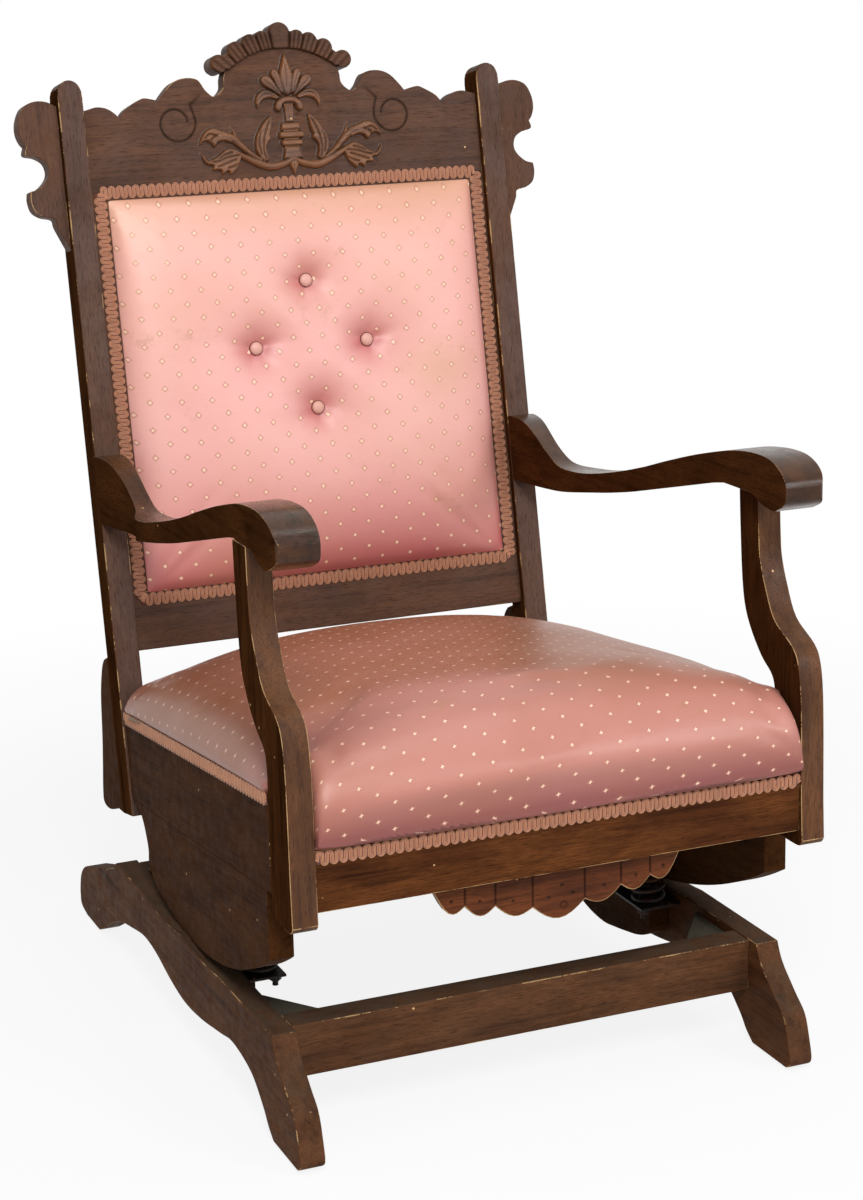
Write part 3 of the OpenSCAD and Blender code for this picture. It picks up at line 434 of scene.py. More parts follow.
class Bench:
    """Places and joins nodes in one shader tree."""

    def __init__(self, tree: bpy.types.NodeTree) -> None:
        """Keep the tree that the nodes go into."""
        self.tree = tree

    def put(self, kind: str, inputs: dict | None = None, **settings: object) -> bpy.types.Node:
        """Add a node.

        Args:
            kind: The node's type.
            inputs: Its input sockets by name or number, each a value or the socket that feeds it.
            **settings: The node's own settings.

        Returns:
            The new node.
        """
        node = self.tree.nodes.new(kind)
        for key, value in settings.items():
            setattr(node, key, value)
        for key, value in (inputs or {}).items():
            self.feed(node.inputs[key], value)
        return node

    def feed(self, socket: Socket, value: object) -> None:
        """Give a socket a value, or join it to the socket that feeds it."""
        if isinstance(value, bpy.types.NodeSocket):
            self.tree.links.new(value, socket)
        elif isinstance(value, (tuple, list)) and socket.type == "RGBA" and len(value) == 3:
            socket.default_value = (*value, 1.0)
        else:
            socket.default_value = value

    def maths(self, how: str, a: object, b: object = 0.0, c: object | None = None,
              clamp: bool = False) -> Socket:
        """Add a Math node and give its result."""
        ins = {0: a, 1: b} if c is None else {0: a, 1: b, 2: c}
        return self.put("ShaderNodeMath", ins, operation=how, use_clamp=clamp).outputs[0]

    def times(self, a: object, b: object, clamp: bool = False) -> Socket:
        """Add a Math node that multiplies and give its result."""
        return self.maths("MULTIPLY", a, b, clamp=clamp)

    def vector(self, how: str, a: object, b: object = (0.0, 0.0, 0.0)) -> Socket:
        """Add a Vector Math node and give its vector."""
        return self.put("ShaderNodeVectorMath", {0: a, 1: b}, operation=how).outputs[0]

    def noise(self, vector: Socket, scale: float, detail: float = 3.0, rough: float = 0.5,
              twist: float = 0.0) -> Socket:
        """Add a Noise texture and give its number."""
        return self.put("ShaderNodeTexNoise", {"Vector": vector, "Scale": scale, "Detail": detail,
                                               "Roughness": rough, "Distortion": twist}).outputs["Fac"]

    def span(self, value: Socket, low: object, high: object, to_low: object = 0.0,
             to_high: object = 1.0) -> Socket:
        """Add a smooth Map Range node and give its result."""
        return self.put("ShaderNodeMapRange", {"Value": value, "From Min": low, "From Max": high,
                                               "To Min": to_low, "To Max": to_high},
                        interpolation_type="SMOOTHSTEP").outputs["Result"]

    def bump(self, height: Socket, strength: float, distance: float, under: Socket | None = None) -> Socket:
        """Add a Bump node, over another one's normal if there is one, and give its normal."""
        inputs = {"Strength": strength, "Distance": distance, "Height": height}
        if under is not None:
            inputs["Normal"] = under
        return self.put("ShaderNodeBump", inputs).outputs[0]

    def mix(self, share: object, a: object, b: object) -> Socket:
        """Add a colour Mix node and give its colour."""
        node = self.put("ShaderNodeMix", None, data_type="RGBA", clamp_factor=True)
        self.feed(node.inputs[0], share)
        self.feed(node.inputs[6], a)
        self.feed(node.inputs[7], b)
        return node.outputs[2]

    def layer(self, colour: object, *coats: tuple[object, object]) -> Socket:
        """Lay coats over a colour, each a share and a tint, and give the colour on top."""
        for share, tint in coats:
            colour = self.mix(share, colour, tint)
        return colour

    def finish(self, shader: bpy.types.Node, colour: Socket, rough: Socket, normal: Socket) -> None:
        """Join a finish's colour, roughness and normal to its shader."""
        for name, socket in (("Base Color", colour), ("Roughness", rough), ("Normal", normal)):
            self.feed(shader.inputs[name], socket)

    def seen(self) -> Socket:
        """Give 1 for rays from the camera and those that mirror or pass light, 0 for the rest."""
        rays = self.put("ShaderNodeLightPath").outputs
        return self.maths("MAXIMUM", rays["Is Camera Ray"],
                          self.maths("MAXIMUM", rays["Is Glossy Ray"], rays["Is Transmission Ray"]))

    def stored(self, name: str, vector: bool = True) -> Socket:
        """Add an Attribute node and give the vector or number stored under a name."""
        node = self.put("ShaderNodeAttribute", None, attribute_name=name)
        return node.outputs["Vector" if vector else "Fac"]


class ShaderGroup:
    """A node group that is built once and placed in each finish that uses it."""

    title = ""
    takes: tuple[tuple[str, str, object], ...] = ()
    gives: tuple[tuple[str, str], ...] = ()
    _built: dict[str, bpy.types.NodeTree] = {}

    def tree(self) -> bpy.types.NodeTree:
        """Build the group at its first use and give its tree."""
        if self.title in self._built:
            return self._built[self.title]
        tree = bpy.data.node_groups.new(self.title, "ShaderNodeTree")
        for name, kind, value in self.takes:
            socket = tree.interface.new_socket(name=name, in_out="INPUT", socket_type="NodeSocket" + kind)
            if kind != "Vector":
                socket.default_value = value
        for name, kind in self.gives:
            tree.interface.new_socket(name=name, in_out="OUTPUT", socket_type="NodeSocket" + kind)
        bench = Bench(tree)
        entry = tree.nodes.new("NodeGroupInput")
        leave = tree.nodes.new("NodeGroupOutput")
        for name, socket in self.wire(bench, entry.outputs).items():
            tree.links.new(socket, leave.inputs[name])
        self._built[self.title] = tree
        return tree

    def wire(self, bench: Bench, given: bpy.types.NodeOutputs) -> dict[str, Socket]:
        """Place the group's nodes.

        Args:
            bench: Where the nodes go.
            given: The group's own inputs.

        Returns:
            The socket behind each output.
        """
        raise NotImplementedError

    def place(self, bench: Bench, **inputs: object) -> bpy.types.NodeOutputs:
        """Place the group in a finish; spaces in input names are written as underscores."""
        node = bench.put("ShaderNodeGroup", None, node_tree=self.tree())
        for key, value in inputs.items():
            bench.feed(node.inputs[key.replace("_", " ")], value)
        return node.outputs


class PlankGrain(ShaderGroup):
    """Walnut figure: broad bands, fine fibres and short dark pores along the board."""

    title = "PlankGrain"
    takes = (("Board", "Vector", None), ("Waviness", "Float", 0.006))
    gives = (("Figure", "Float"), ("Fibre", "Float"), ("Pores", "Float"), ("Height", "Float"))

    def wire(self, bench: Bench, given: bpy.types.NodeOutputs) -> dict[str, Socket]:
        """Stretch noises along the board's length."""
        board = given["Board"]
        slow = bench.put("ShaderNodeTexNoise",
                         {"Vector": board, "Scale": 7.0, "Detail": 2.0}).outputs["Color"]
        drift = bench.vector("SUBTRACT", slow, (0.5, 0.5, 0.5))
        sway = bench.put("ShaderNodeVectorMath", {0: drift, "Scale": given["Waviness"]},
                         operation="SCALE").outputs[0]
        bent = bench.vector("ADD", board, sway)
        figure = bench.noise(bench.vector("MULTIPLY", bent, (5.0, 150.0, 150.0)), 1.0, 4.0, 0.6, 0.2)
        fibre = bench.noise(bench.vector("MULTIPLY", bent, (48.0, 760.0, 760.0)), 1.0, 3.0, 0.62)
        pore = bench.noise(bench.vector("MULTIPLY", bent, (95.0, 1250.0, 1250.0)), 1.0, 1.0, 0.5)
        pores = bench.span(pore, 0.57, 0.68)
        height = bench.maths("SUBTRACT", bench.times(fibre, 0.5), bench.times(pores, 0.6))
        return {"Figure": figure, "Fibre": fibre, "Pores": pores, "Height": height}


class EdgeWear(ShaderGroup):
    """Where handling has rubbed the varnish and stain off the eased edges."""

    title = "EdgeWear"
    takes = (("Edge", "Float", 0.0), ("Board", "Vector", None), ("Amount", "Float", 0.4))
    gives = (("Mask", "Float"), ("Halo", "Float"))

    def wire(self, bench: Bench, given: bpy.types.NodeOutputs) -> dict[str, Socket]:
        """Break the edge line with a coarse and a fine noise."""
        coarse = bench.noise(bench.vector("MULTIPLY", given["Board"], (24.0, 55.0, 55.0)), 1.0, 3.0, 0.6)
        fine = bench.noise(given["Board"], 520.0, 3.0, 0.65)
        ragged = bench.maths("ADD", bench.times(coarse, 1.5), bench.times(fine, 0.55))
        level = bench.maths("ADD", bench.times(given["Edge"], 0.62), ragged)
        start = bench.maths("SUBTRACT", 2.12, bench.times(given["Amount"], 0.75))
        mask = bench.span(level, start, bench.maths("ADD", start, 0.09))
        edge_only = bench.span(given["Edge"], 0.12, 0.4)
        halo = bench.span(given["Edge"], 0.0, 0.9)
        return {"Mask": bench.times(mask, edge_only), "Halo": halo}


class SettledDust(ShaderGroup):
    """Grey-green dust that lies on faces that look up."""

    title = "SettledDust"
    takes = (("Board", "Vector", None), ("Amount", "Float", 0.3))
    gives = (("Mask", "Float"),)

    def wire(self, bench: Bench, given: bpy.types.NodeOutputs) -> dict[str, Socket]:
        """Weigh the face's upward look with a patchy noise."""
        normal = bench.put("ShaderNodeNewGeometry").outputs["Normal"]
        up = bench.put("ShaderNodeSeparateXYZ", {0: normal}).outputs[2]
        lies = bench.span(up, 0.45, 0.95)
        patchy = bench.span(bench.noise(given["Board"], 46.0, 4.0, 0.62), 0.28, 0.66, 0.35, 1.0)
        return {"Mask": bench.times(bench.times(lies, patchy), given["Amount"], clamp=True)}


class PaintedFrontLight(ShaderGroup):
    """Faces that look out of the chair's front, where the finishes paint a pale sheen on the varnish, and the arms
    a darker tone.
    """

    title = "PaintedFrontLight"
    takes = (("Board", "Vector", None), ("Amount", "Float", 0.3))
    gives = (("Mask", "Float"),)

    def wire(self, bench: Bench, given: bpy.types.NodeOutputs) -> dict[str, Socket]:
        """Weigh the face's forward look with a cloudy noise."""
        normal = bench.put("ShaderNodeNewGeometry").outputs["Normal"]
        ahead = bench.times(bench.put("ShaderNodeSeparateXYZ", {0: normal}).outputs[1], -1.0)
        faces_out = bench.span(ahead, 0.35, 0.95)
        cloudy = bench.span(bench.noise(given["Board"], 15.0, 5.0, 0.62, 0.4), 0.3, 0.7, 0.45, 1.0)
        return {"Mask": bench.times(bench.times(faces_out, cloudy), given["Amount"],
                                    clamp=True)}


class NicksAndSpecks(ShaderGroup):
    """Small pale chips, paint specks and thin scratches."""

    title = "NicksAndSpecks"
    takes = (("Board", "Vector", None), ("Amount", "Float", 0.3))
    gives = (("Chips", "Float"), ("Scratches", "Float"))

    def wire(self, bench: Bench, given: bpy.types.NodeOutputs) -> dict[str, Socket]:
        """Cut sparse cells and stretched streaks out of two textures."""
        cells = bench.put("ShaderNodeTexVoronoi",
                          {"Vector": given["Board"], "Scale": 62.0, "Randomness": 1.0})
        rare = bench.put("ShaderNodeSeparateColor", {0: cells.outputs["Color"]}).outputs[0]
        chosen = bench.maths("GREATER_THAN", bench.maths("ADD", bench.times(given["Amount"], 0.2), rare),
                             0.985)
        dot = bench.span(cells.outputs["Distance"], 0.05, 0.1, 1.0, 0.0)
        streak = bench.noise(bench.vector("MULTIPLY", given["Board"], (34.0, 560.0, 230.0)),
                             1.0, 2.0, 0.5, 0.4)
        lines = bench.span(streak, 0.735, 0.79)
        return {"Chips": bench.times(chosen, dot),
                "Scratches": bench.times(lines, given["Amount"])}


class SatinWeave(ShaderGroup):
    """Close satin threads with slubs, on cloth coordinates."""

    rib_pitch = 0.00062
    warp_pitch = 0.00048
    title = "SatinWeave"
    takes = (("Cloth", "Vector", None),)
    gives = (("Slub", "Float"), ("Height", "Float"))

    def wire(self, bench: Bench, given: bpy.types.NodeOutputs) -> dict[str, Socket]:
        """Lay ribs over long soft slubs."""
        split = bench.put("ShaderNodeSeparateXYZ", {0: given["Cloth"]})
        rib, warp = (bench.maths("SINE", bench.times(split.outputs[axis], 2 * math.pi / pitch))
                     for axis, pitch in ((1, self.rib_pitch), (0, self.warp_pitch)))
        thread = bench.maths("MULTIPLY_ADD", bench.times(rib, warp), HALF_WAVE, HALF_WAVE)
        slub = bench.noise(bench.vector("MULTIPLY", given["Cloth"], (60.0, 900.0, 1.0)), 1.0, 2.0, 0.5)
        height = bench.maths("ADD", bench.times(thread, 0.35), bench.times(slub, 0.65))
        return {"Slub": slub, "Height": height}


class SprigLattice(ShaderGroup):
    """Small woven diamonds in staggered rows, each with a darker rim."""

    title = "SprigLattice"
    takes = (("Cloth", "Vector", None), ("Across", "Float", 0.035), ("Down", "Float", 0.0312),
             ("Reach", "Float", 0.0032), ("Slimness", "Float", 1.0), ("Points", "Float", 1.0))
    gives = (("Petal", "Float"), ("Rim", "Float"))

    def wire(self, bench: Bench, given: bpy.types.NodeOutputs) -> dict[str, Socket]:
        """Measure the diamond distance to the nearer of two shifted lattices."""
        jitter = bench.put("ShaderNodeTexNoise", {"Vector": given["Cloth"], "Scale": 420.0, "Detail": 1.0})
        shake = bench.put("ShaderNodeVectorMath", {0: bench.vector("SUBTRACT", jitter.outputs["Color"],
                                                                   (0.5, 0.5, 0.5)), "Scale": 0.0012},
                          operation="SCALE").outputs[0]
        split = bench.put("ShaderNodeSeparateXYZ", {0: bench.vector("ADD", given["Cloth"], shake)})
        gaps = []
        for shift in (0.0, 0.5):
            parts = []
            for axis, pitch, stretch in ((0, given["Across"], given["Slimness"]), (1, given["Down"], 1.0)):
                cell = bench.maths("ADD", bench.maths("DIVIDE", split.outputs[axis], pitch), shift)
                off = bench.maths("SUBTRACT", bench.maths("FRACT", cell), 0.5)
                part = bench.maths("ABSOLUTE", bench.times(off, pitch))
                parts.append(bench.maths("POWER", bench.times(part, stretch), given["Points"]))
            gaps.append(bench.maths("POWER", bench.maths("ADD", parts[0], parts[1]),
                                    bench.maths("DIVIDE", 1.0, given["Points"])))
        gap = bench.maths("MINIMUM", gaps[0], gaps[1])
        share = bench.maths("DIVIDE", gap, given["Reach"])
        petal = bench.span(share, 0.55, 0.85, 1.0, 0.0)
        rim = bench.times(bench.span(share, 0.6, 0.85), bench.span(share, 1.0, 1.35, 1.0, 0.0))
        return {"Petal": petal, "Rim": rim}


class AgeStains(ShaderGroup):
    """Faint brown marks and a general soiling of old cloth."""

    title = "AgeStains"
    takes = (("Cloth", "Vector", None), ("Amount", "Float", 0.3))
    gives = (("Spots", "Float"), ("Soil", "Float"))

    def wire(self, bench: Bench, given: bpy.types.NodeOutputs) -> dict[str, Socket]:
        """Keep only the peaks of a soft noise for the marks."""
        coarse = bench.noise(given["Cloth"], 17.0, 4.0, 0.6, 0.3)
        fine = bench.noise(given["Cloth"], 85.0, 3.0, 0.6)
        spots = bench.times(bench.span(coarse, 0.6, 0.74), bench.span(fine, 0.4, 0.66))
        soil = bench.span(bench.noise(given["Cloth"], 5.5, 3.0, 0.55), 0.3, 0.75)
        return {"Spots": bench.times(spots, given["Amount"]),
                "Soil": bench.times(soil, given["Amount"])}


# Finishes


def toned(colour: Colour, by: float) -> Colour:
    """Give a colour made darker or lighter by a factor."""
    return tuple(min(1.0, by * c) for c in colour)


@dataclass(frozen=True)
class Finish:
    """A material that is painted from a few measures.

    Attributes:
        name: The material's name.
    """

    name: str

    def make(self) -> bpy.types.Material:
        """Build the material.

        Returns:
            The finished material.
        """
        made = bpy.data.materials.new(self.name)
        made.use_nodes = True
        made.node_tree.nodes.clear()
        bench = Bench(made.node_tree)
        shader = bench.put("ShaderNodeBsdfPrincipled")
        bench.put("ShaderNodeOutputMaterial", {"Surface": shader.outputs[0]})
        self.paint(bench, shader)
        return made

    def paint(self, bench: Bench, shader: bpy.types.Node) -> None:
        """Place the finish's nodes and join them to its shader.

        Args:
            bench: Where the nodes go.
            shader: The material's shader.
        """
        raise NotImplementedError


@dataclass(frozen=True)
class WalnutFinish(Finish):
    """Old varnish over walnut stain, with dust, rubbed edges and chips, painted sheen on its front faces and
    painted shade in its hollows.

    Attributes:
        deep: Colour of the darkest figure.
        body: Colour of most of the board.
        warm: Colour of the lighter, worn-through bands.
        worn: Colour of bare wood on rubbed edges.
        edge: Share of the edges that is rubbed bare.
        dust: How much dust lies on top faces.
        dust_tint: Colour of that dust.
        nicks: How many chips and scratches there are.
        front_light: How much painted light lies on front faces.
        front_light_tint: Its colour: a pale tint is painted sheen, a dark one makes the front faces darker.
        gloss: Roughness of the varnish at its best.
        dull: Roughness where it has gone.
        shine: Strength of the varnish's reflection.
    """

    deep: Colour = (0.022, 0.0095, 0.0055)
    body: Colour = (0.075, 0.029, 0.0125)
    warm: Colour = (0.135, 0.052, 0.018)
    worn: Colour = (0.47, 0.29, 0.135)
    edge: float = 0.45
    dust: float = 0.15
    dust_tint: Colour = (0.11, 0.095, 0.07)
    nicks: float = 0.3
    front_light: float = 0.3
    front_light_tint: Colour = (0.125, 0.098, 0.092)
    gloss: float = 0.34
    dull: float = 0.56
    shine: float = 0.12

    def paint(self, bench: Bench, shader: bpy.types.Node) -> None:
        """Lay painted sheen, pores, painted shade in hollows, wear, chips and dust over the stained figure."""
        board = bench.stored("grain")
        grain = PlankGrain().place(bench, Board=board, Waviness=0.006)
        wear = EdgeWear().place(bench, Edge=bench.stored("edge", vector=False), Board=board, Amount=self.edge)
        dust = SettledDust().place(bench, Board=board, Amount=self.dust)
        marks = NicksAndSpecks().place(bench, Board=board, Amount=self.nicks)
        front_light = PaintedFrontLight().place(bench, Board=board, Amount=self.front_light)
        bands = bench.span(grain["Figure"], 0.2, 0.62)
        patch = bench.span(bench.noise(bench.vector("MULTIPLY", board, (9.0, 26.0, 26.0)), 1.0, 4.0, 0.6, 0.2),
                           0.36, 0.68, 0.0, 0.85)
        streaks = bench.times(patch, bench.span(grain["Fibre"], 0.32, 0.68, 0.25, 1.0))
        # painted sheen on front faces; a dark tint darkens them instead
        front_light_share = bench.times(front_light["Mask"], bench.maths("MULTIPLY_ADD", grain["Fibre"], 0.5, 0.6), clamp=True)
        colour = bench.layer(
            bench.mix(bands, self.deep, self.body),
            (streaks, self.warm),
            (front_light_share, self.front_light_tint),
            (bench.times(grain["Pores"], 0.5), self.deep),
            # painted shade: hollow darkens carved grooves, flutes and the ground round the carving
            (bench.times(bench.stored("hollow", vector=False), 0.8), toned(self.deep, 0.4)),
            (bench.times(wear["Halo"], 0.22), self.warm),
            (bench.times(marks["Scratches"], 0.55), self.warm),
            (wear["Mask"], self.worn),
            (marks["Chips"], toned(self.worn, 1.35)),
            (dust["Mask"], self.dust_tint),
        )
        varnish = bench.span(bench.noise(board, 60.0, 5.0, 0.65), 0.25, 0.75, self.gloss, self.dull)
        bare = bench.maths("MAXIMUM", wear["Mask"], dust["Mask"])
        rough = bench.maths("ADD", varnish, bench.times(bare, 0.35), clamp=True)
        lift = bench.maths("SUBTRACT", grain["Height"], bench.times(wear["Mask"], 0.5))
        waves = bench.noise(board, 34.0, 2.0, 0.5)
        bench.finish(shader, colour, rough, bench.bump(waves, 0.18, 0.0018, bench.bump(lift, 0.3, 0.0006)))
        shader.inputs["Specular IOR Level"].default_value = self.shine


@dataclass(frozen=True)
class SatinFinish(Finish):
    """Woven satin with small staggered diamonds.

    Attributes:
        ground: Colour of the satin.
        deep: Colour of the painted shade in folds, round the tufts and low on the covers; also mixed into the
            random tone and the slubs.
        sprig: Colour of the diamonds.
        rim: Colour of the diamonds' rims.
        soil: Colour of the general soiling, and of the browner band that the stored soil number lays on the
            covers.
        spots: Colour of the stains.
        across: Distance between diamonds along a row.
        down: Distance between every second row.
        reach: Half the size of a diamond.
        slimness: How much narrower than high a diamond is.
        points: 1 for straight-sided diamonds, less for stars.
        stain: How soiled the cloth is.
        gloss: Roughness of the satin.
        shine: Strength of the satin's reflection.
    """

    ground: Colour
    deep: Colour
    sprig: Colour
    rim: Colour
    soil: Colour = (0.50, 0.255, 0.12)
    spots: Colour = (0.36, 0.18, 0.075)
    across: float = 0.035
    down: float = 0.0312
    reach: float = 0.0034
    slimness: float = 1.0
    points: float = 1.0
    stain: float = 0.35
    gloss: float = 0.4
    shine: float = 0.6

    def paint(self, bench: Bench, shader: bpy.types.Node) -> None:
        """Lay the browner band, painted shade, sprigs and stains over the satin ground."""
        cloth = bench.stored("cloth")
        weave = SatinWeave().place(bench, Cloth=cloth)
        sprigs = SprigLattice().place(bench, Cloth=cloth, Across=self.across, Down=self.down, Reach=self.reach,
                                      Slimness=self.slimness, Points=self.points)
        age = AgeStains().place(bench, Cloth=cloth, Amount=self.stain)
        tone = bench.span(bench.noise(cloth, 12.0, 3.0, 0.5), 0.25, 0.75, 0.0, 0.35)
        cloudy = bench.span(bench.noise(cloth, 9.0, 4.0, 0.6), 0.3, 0.7, 0.72, 1.0)
        colour = bench.layer(
            self.ground,
            (tone, tuple(0.82 * g + 0.18 * d for g, d in zip(self.ground, self.deep))),
            (bench.times(bench.stored("soil", vector=False), cloudy), self.soil),
            # painted shade in folds, round the tufts, low on the covers and at their edges
            (bench.times(bench.stored("fold", vector=False), 0.85), self.deep),
            (bench.times(weave["Slub"], 0.12), self.deep),
            (bench.times(sprigs["Rim"], 0.75), self.rim),
            (bench.times(sprigs["Petal"], 0.95), self.sprig),
            (bench.times(age["Soil"], 0.7), self.soil),
            (bench.times(age["Spots"], 1.4, clamp=True), self.spots),
        )
        rough = bench.maths("ADD", bench.times(weave["Slub"], 0.12),
                            bench.maths("MULTIPLY_ADD", sprigs["Petal"], 0.2, self.gloss - 0.06), clamp=True)
        height = bench.maths("ADD", weave["Height"], bench.times(sprigs["Petal"], 1.4))
        slack = bench.noise(cloth, 22.0, 2.0, 0.5)
        bench.finish(shader, colour, rough, bench.bump(slack, 0.3, 0.003, bench.bump(height, 0.25, 0.00025)))
        shader.inputs["Specular IOR Level"].default_value = self.shine
        shader.inputs["Sheen Weight"].default_value = 0.05
        shader.inputs["Sheen Roughness"].default_value = 0.35
        shader.inputs["Sheen Tint"].default_value = (1.0, 0.83, 0.78, 1.0)


@dataclass(frozen=True)
class BraidFinish(Finish):
    """Twisted rayon cords of the scroll braid.

    Attributes:
        cord: Colour of the cords.
        shade: Colour of the painted shade between the twists and on the tape behind the cords.
    """

    cord: Colour = (0.62, 0.275, 0.145)
    shade: Colour = (0.14, 0.036, 0.020)

    def paint(self, bench: Bench, shader: bpy.types.Node) -> None:
        """Paint shade between the twists of the cords and over the tape behind them."""
        place = bench.put("ShaderNodeTexCoord").outputs["Object"]
        twist = bench.put("ShaderNodeTexWave", {"Vector": place, "Scale": 260.0, "Distortion": 2.5, "Detail": 1.0},
                          wave_type="BANDS", bands_direction="DIAGONAL").outputs["Fac"]
        soil = bench.span(bench.noise(place, 38.0, 3.0, 0.6), 0.3, 0.75)
        colour = bench.layer(
            self.cord,
            # painted shade in the grooves between the twists
            (bench.times(twist, 0.3), self.shade),
            (bench.times(soil, 0.4), toned(self.cord, 0.62)),
            # painted shadow: the whole tape takes the shade colour
            (bench.stored("hollow", vector=False), self.shade),
        )
        rough = bench.maths("MULTIPLY_ADD", twist, 0.2, 0.45)
        bench.finish(shader, colour, rough, bench.bump(twist, 0.5, 0.0003))
        shader.inputs["Sheen Weight"].default_value = 0.3
        shader.inputs["Sheen Roughness"].default_value = 0.4


@dataclass(frozen=True)
class IronFinish(Finish):
    """Japanned iron with rust coming through.

    Attributes:
        coat: Colour of the japan.
        rust: Colour of the rust.
        share: How much of the surface has rusted.
        metal: Metallic share of the sound surface.
    """

    coat: Colour = (0.020, 0.014, 0.012)
    rust: Colour = (0.075, 0.024, 0.010)
    share: float = 0.6
    metal: float = 0.3

    def paint(self, bench: Bench, shader: bpy.types.Node) -> None:
        """Let rust break through the japan in patches."""
        place = bench.put("ShaderNodeTexCoord").outputs["Object"]
        patch = bench.noise(place, 75.0, 5.0, 0.65, 0.2)
        rusted = bench.span(patch, 0.72 - 0.35 * self.share, 0.86 - 0.35 * self.share)
        grit = bench.noise(place, 900.0, 3.0, 0.6)
        colour = bench.mix(rusted, self.coat, bench.mix(grit, self.rust, toned(self.rust, 0.45)))
        rough = bench.maths("MULTIPLY_ADD", rusted, 0.3, 0.5)
        scale = bench.maths("ADD", bench.times(rusted, 0.6), bench.times(grit, 0.4))
        bench.finish(shader, colour, rough, bench.bump(scale, 0.45, 0.0005))
        bench.feed(shader.inputs["Metallic"], bench.maths("MULTIPLY_ADD", rusted, -self.metal, self.metal))
        shader.inputs["Specular IOR Level"].default_value = 0.2


@dataclass(frozen=True)
class ClothFinish(Finish):
    """Plain woven cloth: jute straps, black cambric and button covers.

    Attributes:
        thread: Colour of the raised threads.
        gap: Colour between them.
        pitch: Distance between threads.
        rough: Roughness of the cloth.
    """

    thread: Colour
    gap: Colour
    pitch: float = 0.0016
    rough: float = 0.85

    def paint(self, bench: Bench, shader: bpy.types.Node) -> None:
        """Raise the threads over their gaps."""
        cloth = bench.stored("cloth")
        split = bench.put("ShaderNodeSeparateXYZ", {0: cloth})
        turns = 2 * math.pi / self.pitch
        warp, weft = (bench.maths("SINE", bench.times(split.outputs[k], turns)) for k in (0, 1))
        plain = bench.maths("MULTIPLY_ADD", bench.times(warp, weft), HALF_WAVE, HALF_WAVE)
        fuzz = bench.noise(cloth, 700.0, 3.0, 0.6)
        soil = bench.span(bench.noise(cloth, 24.0, 3.0, 0.6), 0.35, 0.75)
        raised = bench.times(plain, bench.maths("MULTIPLY_ADD", fuzz, 0.6, 0.5), clamp=True)
        colour = bench.layer(self.gap, (raised, self.thread), (bench.times(soil, 0.35), self.gap))
        rough = bench.maths("MULTIPLY_ADD", fuzz, 0.15, self.rough - 0.1)
        bench.finish(shader, colour, rough, bench.bump(plain, 0.5, 0.0004))
        shader.inputs["Sheen Weight"].default_value = 0.2


@dataclass(frozen=True)
class GlideFinish(Finish):
    """Scuffed pale nylon of the glides.

    Attributes:
        clean: Colour of the sound nylon.
        dirt: Colour of its scuffs.
    """

    name: str = "scuffed_nylon"
    clean: Colour = (0.62, 0.61, 0.58)
    dirt: Colour = (0.30, 0.28, 0.24)

    def paint(self, bench: Bench, shader: bpy.types.Node) -> None:
        """Scuff the nylon in patches."""
        place = bench.put("ShaderNodeTexCoord").outputs["Object"]
        scuff = bench.span(bench.noise(place, 260.0, 4.0, 0.6), 0.42, 0.7)
        colour = bench.mix(bench.times(scuff, 0.6), self.clean, self.dirt)
        rough = bench.maths("MULTIPLY_ADD", scuff, 0.3, 0.35)
        bench.finish(shader, colour, rough, bench.bump(scuff, 0.3, 0.0003))


